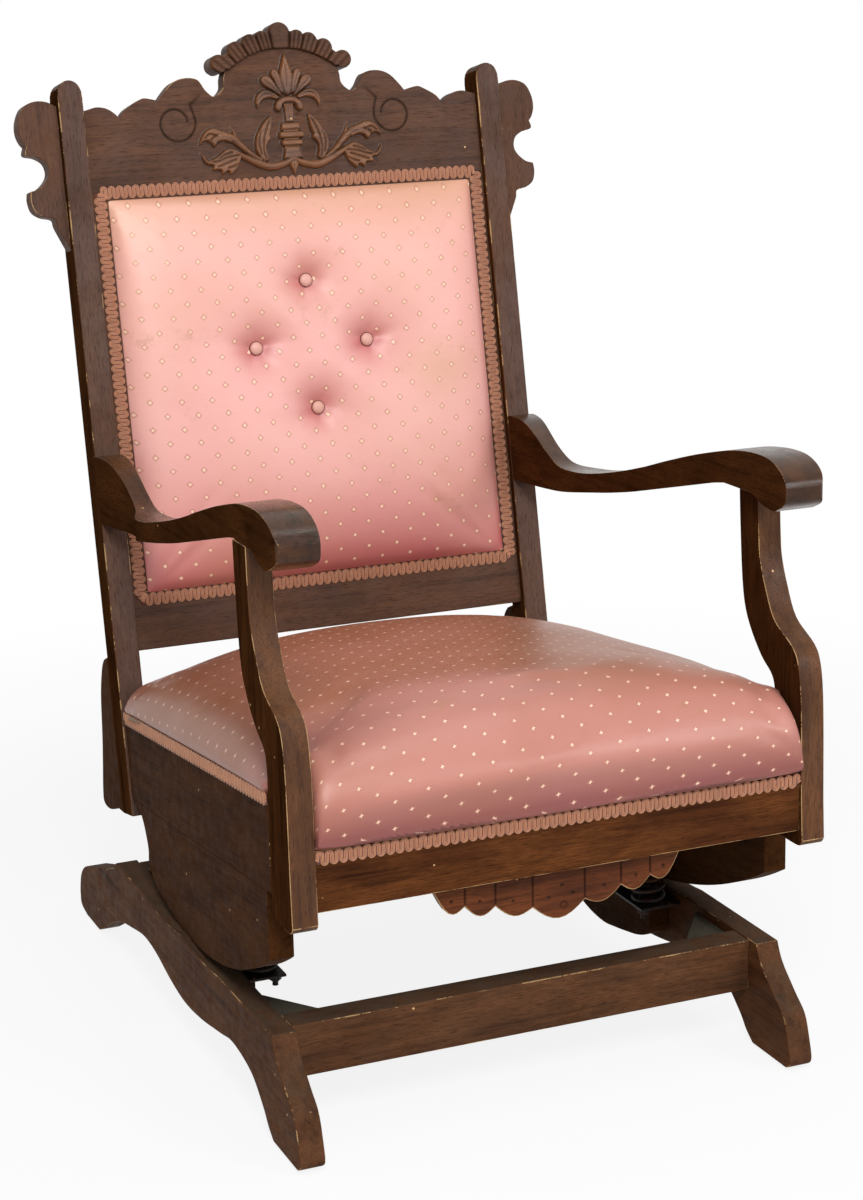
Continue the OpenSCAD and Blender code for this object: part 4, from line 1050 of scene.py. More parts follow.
FINISHES = {
    "back_walnut": WalnutFinish(
        "walnut_back", deep=(0.024, 0.0108, 0.0062), body=(0.088, 0.038, 0.0195),
        warm=(0.150, 0.061, 0.026), edge=0.55, nicks=0.22, front_light=0.46, front_light_tint=(0.100, 0.070, 0.065),
        shine=0.04,
    ),
    "post_walnut": WalnutFinish(
        "walnut_posts", deep=(0.020, 0.0082, 0.0046), body=(0.066, 0.0262, 0.0125),
        warm=(0.120, 0.047, 0.0185), edge=0.55, nicks=0.35, front_light=0.66, front_light_tint=(0.150, 0.102, 0.088),
        gloss=0.3, shine=0.03,
    ),
    "carving_walnut": WalnutFinish(
        "walnut_carving", deep=(0.024, 0.0085, 0.0035), body=(0.140, 0.050, 0.0165),
        warm=(0.250, 0.094, 0.028), edge=0.45, nicks=0.1, front_light=0.18, front_light_tint=(0.20, 0.135, 0.118),
        gloss=0.3, dull=0.45, shine=0.3,
    ),
    # the arms' dark front_light_tint paints their front faces darker
    "arm_walnut": WalnutFinish(
        "walnut_arms", deep=(0.013, 0.0048, 0.0022), body=(0.055, 0.0185, 0.0056),
        warm=(0.125, 0.044, 0.012), edge=0.5, nicks=0.3, front_light=0.8, front_light_tint=(0.014, 0.0086, 0.0066),
        gloss=0.16, dull=0.30, shine=0.24,
    ),
    "front_walnut": WalnutFinish(
        "walnut_front", deep=(0.017, 0.0052, 0.0022), body=(0.066, 0.0205, 0.0066),
        warm=(0.150, 0.050, 0.0135), edge=0.75, nicks=0.6, front_light=0.0, gloss=0.34, shine=0.03,
    ),
    "front_post_walnut": WalnutFinish(
        "walnut_front_posts", deep=(0.019, 0.0066, 0.0028), body=(0.074, 0.0270, 0.0102),
        warm=(0.165, 0.062, 0.0200), edge=0.75, nicks=0.55, front_light=0.25, front_light_tint=(0.130, 0.080, 0.055),
        gloss=0.26, shine=0.12,
    ),
    "side_walnut": WalnutFinish(
        "walnut_sides", deep=(0.014, 0.0050, 0.0020), body=(0.050, 0.0178, 0.0058),
        warm=(0.084, 0.0310, 0.0094), edge=0.3, nicks=0.3, front_light=0.0, gloss=0.5, dull=0.7, shine=0.01,
    ),
    # painted shade: a darker, matt copy of the walnut for the sideways faces of the posts and arms
    "cheek_walnut": WalnutFinish(
        "walnut_shaded_cheeks", deep=(0.013, 0.0046, 0.0018), body=(0.052, 0.0180, 0.0058),
        warm=(0.098, 0.0350, 0.0105), edge=0.7, nicks=0.35, front_light=0.0, gloss=0.5, dull=0.7, shine=0.0,
    ),
    "apron_walnut": WalnutFinish(
        "walnut_apron", deep=(0.026, 0.0075, 0.003), body=(0.105, 0.0275, 0.0085),
        warm=(0.20, 0.056, 0.0145), edge=1.1, nicks=0.5, front_light=0.05, shine=0.08,
    ),
    "base_walnut": WalnutFinish(
        "walnut_base", deep=(0.022, 0.0084, 0.0038), body=(0.080, 0.0300, 0.0118),
        warm=(0.150, 0.060, 0.0235), edge=0.55, dust=0.66, dust_tint=(0.082, 0.060, 0.043), nicks=0.5,
        front_light=0.22, front_light_tint=(0.118, 0.080, 0.060), gloss=0.42, dull=0.66, shine=0.02,
    ),
    "dusty_wood": WalnutFinish(
        "dusty_wood", deep=(0.045, 0.035, 0.024), body=(0.092, 0.074, 0.050), warm=(0.12, 0.094, 0.062),
        edge=0.35, dust=0.85, dust_tint=(0.105, 0.095, 0.073), nicks=0.35, front_light=0.0, gloss=0.7, dull=0.9,
        shine=0.03,
    ),
    "back_satin": SatinFinish(
        "satin_back", ground=(0.80, 0.405, 0.360), deep=(0.37, 0.030, 0.042), sprig=(0.86, 0.56, 0.42),
        rim=(0.40, 0.145, 0.075), soil=(0.56, 0.30, 0.15), reach=0.0033, gloss=0.40, shine=0.7,
    ),
    "seat_satin": SatinFinish(
        "satin_seat", ground=(0.50, 0.215, 0.172), deep=(0.150, 0.018, 0.030), sprig=(0.88, 0.60, 0.44),
        rim=(0.36, 0.13, 0.10), soil=(0.300, 0.100, 0.034), across=0.0335, down=0.0300, reach=0.0050,
        slimness=0.92, points=0.5, stain=0.4, gloss=0.36, shine=0.40,
    ),
    "button_satin": SatinFinish(
        "satin_buttons", ground=(0.68, 0.36, 0.30), deep=(0.28, 0.05, 0.05), sprig=(0.68, 0.36, 0.30),
        rim=(0.60, 0.30, 0.25), across=0.2, down=0.2, gloss=0.42,
    ),
    "button_rim": ClothFinish(
        "button_rims", thread=(0.15, 0.028, 0.022), gap=(0.07, 0.012, 0.010), pitch=0.0007, rough=0.6,
    ),
    "braid": BraidFinish("scroll_braid"),
    "iron": IronFinish("japanned_iron"),
    "spring_steel": IronFinish(
        "spring_steel", coat=(0.038, 0.028, 0.024), rust=(0.085, 0.028, 0.012), share=0.7, metal=0.4,
    ),
    "jute": ClothFinish(
        "jute_webbing", thread=(0.36, 0.27, 0.165), gap=(0.15, 0.105, 0.06), pitch=0.0028, rough=0.95,
    ),
    "cambric": ClothFinish(
        "black_cambric", thread=(0.028, 0.026, 0.026), gap=(0.008, 0.0075, 0.0075), pitch=0.0011, rough=0.9,
    ),
    "nylon": GlideFinish(),
}


class Palette:
    """Every finish of the chair, made once and kept under its name."""

    def __init__(self) -> None:
        """Build the materials."""
        for name, finish in FINISHES.items():
            setattr(self, name, finish.make())


# Timbers


@dataclass(frozen=True)
class Timber:
    """One board of the frame and how it is dressed.

    Attributes:
        node: The frame's node that the board stands for.
        body: The body that it rides on.
        along: The way its grain runs.
        ease: Radius of its eased edges.
        slot: The record's material slot; not used.
    """

    node: str
    body: Body
    along: Along
    ease: float = 0.0016
    slot: str = "dark_wood"

    def shape(self) -> bmesh.types.BMesh:
        """Copy the board's solid, join its flat faces and ease its outer edges.

        Returns:
            The mesh, with an "edge" number of 1 in the middle of each eased edge.
        """
        bm = bmesh.new()
        bm.from_mesh(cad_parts[self.node].data)
        bmesh.ops.remove_doubles(bm, verts=bm.verts, dist=BOARD_WELD)
        bmesh.ops.dissolve_limit(bm, angle_limit=FLAT_TURN, verts=bm.verts, edges=bm.edges)
        edge_number = bm.verts.layers.float.new("edge")
        # hollow holds the painted shade in cut recesses
        bm.verts.layers.float.new("hollow")
        sharp = [e for e in bm.edges if len(e.link_faces) == 2 and e.calc_face_angle_signed() > EASED_TURN]
        made = bmesh.ops.bevel(bm, geom=sharp, offset=self.ease, offset_type="OFFSET", segments=3, profile=0.5,
                               affect="EDGES", clamp_overlap=True, loop_slide=True)
        eased = set(made["faces"])
        for v in {v for f in eased for v in f.verts}:
            if all(f in eased for f in v.link_faces):
                v[edge_number] = 1.0
        for f in bm.faces:
            f.smooth = True
        for e in bm.edges:
            if len(e.link_faces) == 2 and e.calc_face_angle(0.0) > CREASE_TURN:
                e.smooth = False
        return bm

    def dress(self, finish: bpy.types.Material, bm: bmesh.types.BMesh | None = None,
              shaded_cheeks: bpy.types.Material | None = None) -> bpy.types.Object:
        """Make the board's own piece in place of its node.

        Args:
            finish: The board's material.
            bm: A shape of its own, or None for the plain eased one.
            shaded_cheeks: A darker copy of the finish for the faces that look sideways, painted shade, or None.

        Returns:
            The dressed board.
        """
        bm = bm or self.shape()
        mesh = bpy.data.meshes.new("timber_" + self.node)
        bm.to_mesh(mesh)
        bm.free()
        obj = bpy.data.objects.new("timber_" + self.node, mesh)
        bpy.context.scene.collection.objects.link(obj)
        fit_out(obj, finish, self.body, self.node)
        if shaded_cheeks:
            mesh.materials.append(shaded_cheeks)
            for face in mesh.polygons:
                face.material_index = int(abs(face.normal.x) > CHEEK_LOOK)
        lay_grain(obj, self.along, self.node)
        even_normals(obj)
        return obj


def dress_boards(rows: Sequence[tuple], palette: Palette) -> list[bpy.types.Object]:
    """Dress plain boards from a list.

    Args:
        rows: For each board its node, body, grain, eased radius, finish and, where it isn't the dark
            wood, slot. A node that ends in "_" stands for the left and the right board.
        palette: The finishes.

    Returns:
        The dressed boards.
    """
    made = []
    for node, body, along, ease, finish, *slot in rows:
        for name in (node + side for side in SIDES) if node.endswith("_") else (node,):
            made.append(Timber(name, body, along, ease, *slot).dress(getattr(palette, finish)))
    return made


def carve_face(bm: bmesh.types.BMesh, facing: Vector, flat: Callable[[Vector], Point2],
               marks: np.ndarray, depth: Callable[[np.ndarray], np.ndarray], clear: float) -> None:
    """Cut shallow carving into the largest flat face that looks a given way.

    Args:
        bm: The board's mesh.
        facing: The way the face looks.
        flat: Gives a point's place on the face as two lengths.
        marks: Places on the face that get mesh points, as an array of pairs.
        depth: Gives the depth of the carving at an array of places.
        clear: Least distance of a mesh point from the face's rim.
    """
    faces = [f for f in bm.faces if f.normal.dot(facing) > CARVED_LOOK]
    face = max(faces, key=lambda f: f.calc_area())
    rim = list(face.verts)
    outline = np.array([flat(v.co) for v in rim])
    marks = marks[within(marks, outline)]
    marks = marks[gap_to_line(marks, outline, closed=True) > clear]
    n = len(rim)
    coords = [Vector(p) for p in outline] + [Vector(p) for p in marks]
    found = delaunay_2d_cdt(coords, [], [list(range(n))], 1, 1e-7)
    points, tris, origins = found[0], found[2], found[3]
    hollow = bm.verts.layers.float["hollow"]
    base_point, normal = rim[0].co.copy(), face.normal.copy()
    e0 = (rim[1].co - base_point).normalized()
    e1 = normal.cross(e0)
    a0 = np.array(flat(base_point))
    to_flat = np.array([np.array(flat(base_point + e0)) - a0, np.array(flat(base_point + e1)) - a0]).T
    from_flat = np.linalg.inv(to_flat)
    places = np.array([[p[0], p[1]] for p in points])
    depths = depth(places)
    made: list[bmesh.types.BMVert] = []
    for i in range(len(points)):
        old = [o for o in origins[i] if o < n]
        if old:
            made.append(rim[old[0]])
            continue
        local = from_flat @ (places[i] - a0)
        v = bm.verts.new(base_point + e0 * local[0] + e1 * local[1] - normal * float(depths[i]))
        # painted shade, darker the deeper the cut
        v[hollow] = min(1.0, float(depths[i]) / DARK_DEPTH)
        made.append(v)
    bm.faces.remove(face)
    for tri in tris:
        corners = [made[i] for i in tri]
        if len(set(corners)) < 3:
            continue
        try:
            f = bm.faces.new(corners)
        except ValueError:
            continue
        f.normal_update()
        if f.normal.dot(facing) < 0:
            f.normal_flip()
        f.smooth = True


def on_back(co: Vector) -> Point2:
    """Give a point's place across and up the raked back."""
    c, s = math.cos(BACK.rake), math.sin(BACK.rake)
    return co.x, (co.y - BACK.foot_y) * s + co.z * c


def on_front(co: Vector) -> Point2:
    """Give a point's place across and up an upright front face."""
    return co.x, co.z


@dataclass
class BaseFrame:
    """The still base: sides, stretchers, corner blocks, cleats and glides."""

    boards: tuple[tuple, ...] = (
        ("base_side_", Body.BASE, Along.DEPTH, 0.0022, "base_walnut"),
        ("spring_cleat_", Body.BASE, Along.DEPTH, 0.0018, "side_walnut"),
        ("corner_block_front_left", Body.BASE, Along.DIAGONAL_RIGHT, 0.0012, "dusty_wood", "hidden_wood"),
        ("corner_block_rear_left", Body.BASE, Along.DIAGONAL_LEFT, 0.0012, "dusty_wood", "hidden_wood"),
        ("corner_block_front_right", Body.BASE, Along.DIAGONAL_LEFT, 0.0012, "dusty_wood", "hidden_wood"),
        ("corner_block_rear_right", Body.BASE, Along.DIAGONAL_RIGHT, 0.0012, "dusty_wood", "hidden_wood"),
        ("base_stretcher_front", Body.BASE, Along.ACROSS, 0.0018, "base_walnut"),
        ("base_stretcher_rear", Body.BASE, Along.ACROSS, 0.0018, "base_walnut"),
    )
    glide_radius: float = 0.010
    glide_profile: tuple[Point2, ...] = (
        (0.0, 0.0), (0.0036, 0.0), (0.0062, 0.0004), (0.0084, 0.0011), (0.0097, 0.0019), (0.0100, 0.0026),
        (0.0098, 0.0032), (0.0, 0.0034),
    )

    def build(self, palette: Palette) -> list[bpy.types.Object]:
        """Dress the base.

        Args:
            palette: The finishes.

        Returns:
            The pieces made.
        """
        return [*dress_boards(self.boards, palette), self.glides(palette)]

    def glides(self, palette: Palette) -> bpy.types.Object:
        """Turn the four glides under the feet."""
        low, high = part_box("glides")
        radius = self.glide_radius
        shapes = Shapes()
        for x in (low.x + radius, high.x - radius):
            for y in (low.y + radius, high.y - radius):
                shapes.add(*lathe(self.glide_profile, Vector((x, y, low.z)), Vector((0, 0, 1)), 32))
        obj = shapes.piece("foot_glides")
        fit_out(obj, palette.nylon, Body.BASE, "glides")
        return obj


@dataclass
class RockingGear:
    """Coil springs between the base's cleats and the rockers, with their plates, screws and bolts."""

    wire: float = 0.0025
    coil: float = 0.0165
    turns: float = 4.6
    steps: int = 22
    closed_turns: float = 0.8
    closed_rise: float = 0.055
    plates: tuple[tuple, ...] = (
        ("spring_plate_lower_", Body.BASE, Along.DEPTH, 0.0006, "iron", "iron"),
        ("spring_plate_upper_", Body.CHAIR, Along.DEPTH, 0.0006, "iron", "iron"),
    )
    screw: tuple[Point2, ...] = (
        (0.0, -0.0012), (0.0036, -0.0012), (0.0036, 0.0), (0.0033, 0.0008), (0.0022, 0.0014), (0.0, 0.0016),
    )
    cup: tuple[Point2, ...] = ((0.0, 0.0), (0.0128, 0.0), (0.0130, 0.0035), (0.0110, 0.0060), (0.0, 0.0065))
    washer: tuple[Point2, ...] = (
        (0.0, 0.0), (0.0078, 0.0), (0.0078, 0.0009), (0.0074, 0.0013), (0.0, 0.0013),
    )
    nut: tuple[Point2, ...] = (
        (0.0, 0.0010), (0.0060, 0.0010), (0.0066, 0.0018), (0.0066, 0.0058), (0.0058, 0.0064), (0.0, 0.0064),
    )

    def build(self, palette: Palette) -> list[bpy.types.Object]:
        """Dress the springs and their irons.

        Args:
            palette: The finishes.

        Returns:
            The pieces made.
        """
        made = dress_boards(self.plates, palette)
        for side in SIDES:
            made += [self.spring(f"spring_{end}_{side}", palette) for end in ENDS]
            made += self.fixings(side, palette)
        return made

    def spring(self, node: str, palette: Palette) -> bpy.types.Object:
        """Wind one spring with closed ends.

        Args:
            node: The frame's spring.
            palette: The finishes.

        Returns:
            The spring, which bends between the base and the chair.
        """
        low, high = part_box(node)
        x, y = (low.x + high.x) / 2, (low.y + high.y) / 2
        z0, z1 = low.z + self.wire, high.z - self.wire
        s = np.linspace(0, 1, int(self.turns * self.steps) + 1)
        closed = self.closed_turns / self.turns
        rise = np.interp(s, [0, closed, 1 - closed, 1], [0, self.closed_rise, 1 - self.closed_rise, 1])
        t = 2 * math.pi * self.turns * s
        line = np.stack([x + self.coil * np.cos(t), y + self.coil * np.sin(t), z0 + (z1 - z0) * rise], axis=1)
        obj = new_piece("coil_" + node, *tube(line, self.wire, 10))
        obj.data.materials.append(palette.spring_steel)
        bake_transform(obj, Body.BASE.value, Body.CHAIR.value, start=(x, y, z0), end=(x, y, z1))
        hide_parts(node)
        return obj

    def fixings(self, side: str, palette: Palette) -> list[bpy.types.Object]:
        """Set the plates' screws, the spring caps and the bolt under each lower plate's front.

        Args:
            side: Left or right.
            palette: The finishes.

        Returns:
            The pieces made.
        """
        sign = -1.0 if side == "left" else 1.0
        lower, lower_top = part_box(f"spring_plate_lower_{side}")
        upper, upper_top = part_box(f"spring_plate_upper_{side}")
        up = Vector((0, 0, 1))
        base_set, chair_set = Shapes(), Shapes()
        mid_x = (lower.x + lower_top.x) / 2
        for share in (0.04, 0.5, 0.96):
            y = lower.y + share * (lower_top.y - lower.y)
            base_set.add(*lathe(self.screw, Vector((mid_x + sign * 0.011, y, lower_top.z)), up, 16))
        flange_x = (upper_top.x if side == "right" else upper.x) - sign * 0.0034
        for share in (0.1, 0.37, 0.63, 0.9):
            y = upper.y + share * (upper_top.y - upper.y)
            place = Vector((flange_x, y, upper_top.z - 0.014))
            chair_set.add(*lathe(self.screw, place, Vector((-sign, 0, 0)), 16))
        for end in ENDS:
            low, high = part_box(f"spring_{end}_{side}")
            x, y = (low.x + high.x) / 2, (low.y + high.y) / 2
            base_set.add(*lathe(self.cup, Vector((x, y, low.z)), up, 24))
            chair_set.add(*lathe(self.cup, Vector((x, y, high.z)), -up, 24))
        bolt_x = (lower.x if side == "right" else lower_top.x) + sign * 0.0085
        base_set.add(*self.bolt(Vector((bolt_x, lower.y + 0.012, lower.z))))
        made = []
        for name, shapes, body in (("cleat_irons", base_set, Body.BASE),
                                   ("rocker_irons", chair_set, Body.CHAIR)):
            obj = shapes.piece(f"{name}_{side}")
            fit_out(obj, palette.iron, body)
            made.append(obj)
        return made

    def bolt(self, under: Vector) -> tuple[list[Vector], list[tuple[int, ...]]]:
        """Shape the washer, nut and thread tip that show under a lower plate.

        Args:
            under: Where the bolt leaves the plate.

        Returns:
            The points and the faces.
        """
        shapes = Shapes()
        thread = [(0.0, 0.0055), *((0.0033 if k % 2 else 0.0029, 0.0056 + 0.0007 * k) for k in range(10)),
                  (0.0020, 0.0124), (0.0, 0.0126)]
        for profile, sides in ((self.washer, 24), (self.nut, 6), (thread, 14)):
            shapes.add(*lathe(profile, under, Vector((0, 0, -1)), sides))
        return shapes.verts, shapes.faces


@dataclass
class SeatFrame:
    """Rockers, seat rails and the scalloped apron."""

    boards: tuple[tuple, ...] = (
        ("rocker_", Body.CHAIR, Along.FALLING, 0.0014, "side_walnut"),
        ("side_rail_", Body.CHAIR, Along.FALLING, 0.0012, "side_walnut"),
        ("front_rail", Body.CHAIR, Along.ACROSS, 0.0015, "front_walnut"),
        ("rear_rail", Body.CHAIR, Along.ACROSS, 0.0012, "dusty_wood", "hidden_wood"),
        ("seat_corner_blocks", Body.CHAIR, Along.ACROSS, 0.0012, "dusty_wood", "hidden_wood"),
    )
    apron_lines: tuple[float, ...] = (0.0280, 0.0675, 0.0995)
    apron_dots: tuple[Point2, ...] = (
        (-0.011, 0.233), (0.003, 0.244), (0.015, 0.234), (-0.049, 0.236), (0.049, 0.236),
        (-0.084, 0.241), (0.084, 0.241), (-0.114, 0.246), (0.114, 0.246),
    )
    apron_ring: Point2 = (0.005, 0.223)

    def build(self, palette: Palette) -> list[bpy.types.Object]:
        """Dress the rockers and the seat's boards.

        Args:
            palette: The finishes.

        Returns:
            The pieces made.
        """
        return [*dress_boards(self.boards, palette), self.apron(palette)]

    def apron(self, palette: Palette) -> bpy.types.Object:
        """Carve the apron's lines, punched dots and ring."""
        board = Timber("apron", Body.CHAIR, Along.ACROSS, 0.0013)
        low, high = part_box("apron")
        places = []
        for x in self.apron_lines:
            for sx in (-x, x):
                for z in np.arange(low.z, high.z, 0.0022):
                    places.extend((sx + dx, z) for dx in (-0.0016, -0.0008, 0.0, 0.0008, 0.0016))
        for dot in self.apron_dots:
            places.append(dot)
            places += self.round_marks(dot, (0.0011, 0.0022, 0.0033), 0.7)
        cx, cz = self.apron_ring
        places += self.round_marks(self.apron_ring, (0.0018, 0.0030, 0.0042, 0.0054), 0.5)

        def depth(p: np.ndarray) -> np.ndarray:
            """Give the depth of the apron's carving at each place."""
            cut = np.zeros(len(p))
            for x in self.apron_lines:
                cut = np.maximum(cut, 0.0017 * np.exp(-((np.abs(np.abs(p[:, 0]) - x)) / 0.0009) ** 2))
            for dx, dz in self.apron_dots:
                cut = np.maximum(cut, 0.0016 * np.exp(-(np.hypot(p[:, 0] - dx, p[:, 1] - dz) / 0.0017) ** 2))
            ring = np.hypot(p[:, 0] - cx, p[:, 1] - cz)
            return np.maximum(cut, 0.0011 * np.exp(-((ring - 0.0036) / 0.0009) ** 2))

        bm = board.shape()
        carve_face(bm, Vector((0, -1, 0)), on_front, np.array(places), depth, 0.0006)
        return board.dress(palette.apron_walnut, bm)

    @staticmethod
    def round_marks(centre: Point2, radii: Sequence[float], turn: float) -> list[Point2]:
        """Give places on circles round a centre, one every so much of a turn in radians."""
        return [(centre[0] + r * math.cos(t), centre[1] + r * math.sin(t))
                for r in radii for t in np.arange(0, 6.2, turn)]


@dataclass
class ArmsAndPosts:
    """Front posts, arms, back posts and rear legs; all but the legs have their sideways faces in a darker, matt
    walnut that paints shade.
    """

    boards: tuple[tuple, ...] = (
        ("front_post_", Along.UPRIGHT, 0.0022, "front_post_walnut"),
        ("arm_", Along.DEPTH, 0.0032, "arm_walnut"),
        ("back_post_", Along.RAKED, 0.0020, "post_walnut"),
    )
    legs: tuple[tuple, ...] = (("rear_leg_", Body.CHAIR, Along.RAKED, 0.0022, "side_walnut"),)

    def build(self, palette: Palette) -> list[bpy.types.Object]:
        """Dress the uprights and the arms.

        Args:
            palette: The finishes.

        Returns:
            The pieces made.
        """
        made = [Timber(node + side, Body.CHAIR, along, ease).dress(getattr(palette, finish),
                                                                   shaded_cheeks=palette.cheek_walnut)
                for node, along, ease, finish in self.boards for side in SIDES]
        return made + dress_boards(self.legs, palette)


@dataclass
class CrestAndBack:
    """The carved crest with its fan and ears, and the rails that carry the pad."""

    boards: tuple[tuple, ...] = (
        ("ear_", Body.CHAIR, Along.RAKED, 0.0024, "back_walnut"),
        ("back_stile_", Body.CHAIR, Along.RAKED, 0.0012, "back_walnut", "hidden_wood"),
        ("lower_back_rail", Body.CHAIR, Along.ACROSS, 0.0014, "back_walnut"),
    )
    rosette: Point2 = (0.131, 0.958)
    fan_centre: float = 0.958
    fan_from: float = 34.7
    fan_valley: float = 0.0995
    fan_lobes: tuple[tuple[float, float, float], ...] = (
        (90.0, 0.0955, 0.0136), (76.9, 0.0934, 0.0090), (67.6, 0.0935, 0.0102), (55.9, 0.0947, 0.0106),
        (40.5, 0.0993, 0.0104),
    )
    fan_joints: tuple[float, ...] = (97.4, 82.6, 72.6, 61.0, 49.1, 34.6)
    fan_inner: tuple[Point2, ...] = (
        (34, 0.088), (40.9, 0.0867), (54.3, 0.0833), (67.3, 0.0811), (90, 0.0790),
    )

    def build(self, palette: Palette) -> list[bpy.types.Object]:
        """Dress the crest, the ears and the back's rails.

        Args:
            palette: The finishes.

        Returns:
            The pieces made.
        """
        return [self.crest(palette), self.fan(palette), *dress_boards(self.boards, palette)]

    def spiral(self, sign: float) -> np.ndarray:
        """Give the cut line of one rosette: it widens round its centre, then rises to the crest's dome.

        Args:
            sign: -1 for the left rosette, 1 for the right one.

        Returns:
            The line's points across and up the back.
        """
        cx, ct = self.rosette
        t = np.linspace(0, 1, 90)
        a = np.radians(172 - 352 * t)
        r = np.interp(t, [0, 0.12, 0.3, 0.5, 0.75, 0.9, 1.0],
                      [0.0128, 0.0138, 0.0168, 0.0195, 0.0205, 0.0210, 0.0222])
        rise = [(cx - 0.0216, ct + 0.006), (cx - 0.0196, ct + 0.013), (cx - 0.0172, ct + 0.020)]
        return np.vstack([np.stack([cx + r * np.cos(a), ct + r * np.sin(a)], axis=1), rise]) * (sign, 1.0)

    def crest(self, palette: Palette) -> bpy.types.Object:
        """Cut the two rosettes into the crest rail."""
        board = Timber("crest_rail", Body.CHAIR, Along.ACROSS, 0.0026)
        lines = [self.spiral(s) for s in (-1.0, 1.0)]
        cx, ct = self.rosette
        places = []
        for sign in (-1.0, 1.0):
            for ring in np.arange(0.0, 0.0275, 0.0012):
                for t in np.linspace(0, 2 * math.pi, max(4, int(ring / 0.0014 * 6.3)), endpoint=False):
                    places.append((sign * cx + ring * math.cos(t), ct + ring * math.sin(t)))

        def depth(p: np.ndarray) -> np.ndarray:
            """Give the depth of the rosettes' groove at each place."""
            gap = np.minimum(gap_to_line(p, lines[0]), gap_to_line(p, lines[1]))
            return 0.0016 * np.exp(-(gap / 0.0011) ** 2)

        bm = board.shape()
        carve_face(bm, BACK.way(0, 1, 0), on_back, np.array(places), depth, 0.0008)
        return board.dress(palette.back_walnut, bm)

    def fan(self, palette: Palette) -> bpy.types.Object:
        """Shape the fan: round lobes on an arch, a ball at each end, and flutes that run in to the arch."""
        depth = BACK.read(mesh_points(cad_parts["crest_fan"]))[:, 1]
        front, back = float(depth.max()), float(depth.min())
        angles = np.radians(np.linspace(self.fan_from, 180 - self.fan_from, 331))
        mirrored = np.minimum(angles, math.pi - angles)
        outer, inner = np.full(len(angles), self.fan_valley), self.fan_arch(mirrored)
        ball_at = self.fan_lobes[-1][0]
        outer[mirrored < math.radians(ball_at + 4)] = 0
        for at, far, radius in self.fan_lobes:
            off = mirrored - math.radians(at)
            root = radius ** 2 - (far * np.sin(off)) ** 2
            reach = far * np.cos(off) + np.sqrt(np.maximum(root, 0))
            outer = np.maximum(outer, np.where(root > 0, reach, 0))
            if at == ball_at:
                near = far * np.cos(off) - np.sqrt(np.maximum(root, 0))
                inner = np.where(mirrored < math.radians(ball_at + 0.5), np.maximum(inner, near), inner)
        outer = np.maximum(outer, inner + 0.0004)
        shares = np.array([0.0, 0.02, 0.06, 0.15, 0.3, 0.45, 0.6, 0.72, 0.82, 0.9, 0.95, 0.985, 1.0])
        radius = inner[:, None] + (outer - inner)[:, None] * shares
        degrees = np.degrees(mirrored)
        cut = np.zeros(len(angles))
        for k, (low, high) in enumerate(zip(self.fan_joints[1:], self.fan_joints[:-1])):
            part = np.clip((degrees - low) / (high - low), 0, 1)
            rib = np.abs(np.sin(part * math.pi * (3 if k else 1.5)))
            cut += np.where((degrees >= low) & (degrees < high), 0.0019 * (1 - rib) ** 1.4, 0)
            cut += 0.0016 * np.exp(-((degrees - low) / 0.8) ** 2)
        from_rim = (outer - inner)[:, None] * (1 - shares)
        from_arch = (outer - inner)[:, None] * shares
        over = (np.maximum(0, 1 - from_rim / 0.0042) ** 2 * 0.0046
                + np.maximum(0, 1 - from_arch / 0.0016) ** 2 * 0.0012)
        out = front - cut[:, None] * np.clip(from_rim / 0.0022, 0.25, 1) - over
        rows, n = len(angles), len(shares) + 2
        local = np.zeros((rows, n, 3))
        local[:, :-2, 0] = radius * np.cos(angles)[:, None]
        local[:, :-2, 1] = out
        local[:, :-2, 2] = radius * np.sin(angles)[:, None]
        for behind, source in ((n - 2, -3), (n - 1, 0)):
            local[:, behind] = local[:, source]
            local[:, behind, 1] = back
        local[:, :, 2] += self.fan_centre
        obj = new_piece("fluted_fan", BACK.place_all(local.reshape(-1, 3)), turned(skin_faces(rows, n)))
        number = np.zeros((rows, n))
        # painted shade in the flutes
        number[:, :-2] = np.clip(cut[:, None] / 0.003, 0, 1) * np.clip(from_rim / 0.003, 0, 1)
        write_number(obj, "hollow", np.clip(number.ravel() * 0.9, 0, 1))
        number[:, :-2] = np.exp(-((from_rim - 0.0012) / 0.0014) ** 2)
        write_number(obj, "edge", number.ravel() * 0.5)
        lay_grain(obj, Along.ACROSS, "crest_fan")
        even_normals(obj)
        fit_out(obj, palette.back_walnut, Body.CHAIR, "crest_fan")
        return obj

    def fan_arch(self, angle: np.ndarray) -> np.ndarray:
        """Give the arch's distance from the fan's centre at each angle."""
        places, far = zip(*self.fan_inner)
        return np.interp(np.degrees(angle), places, far)


# Carving in relief


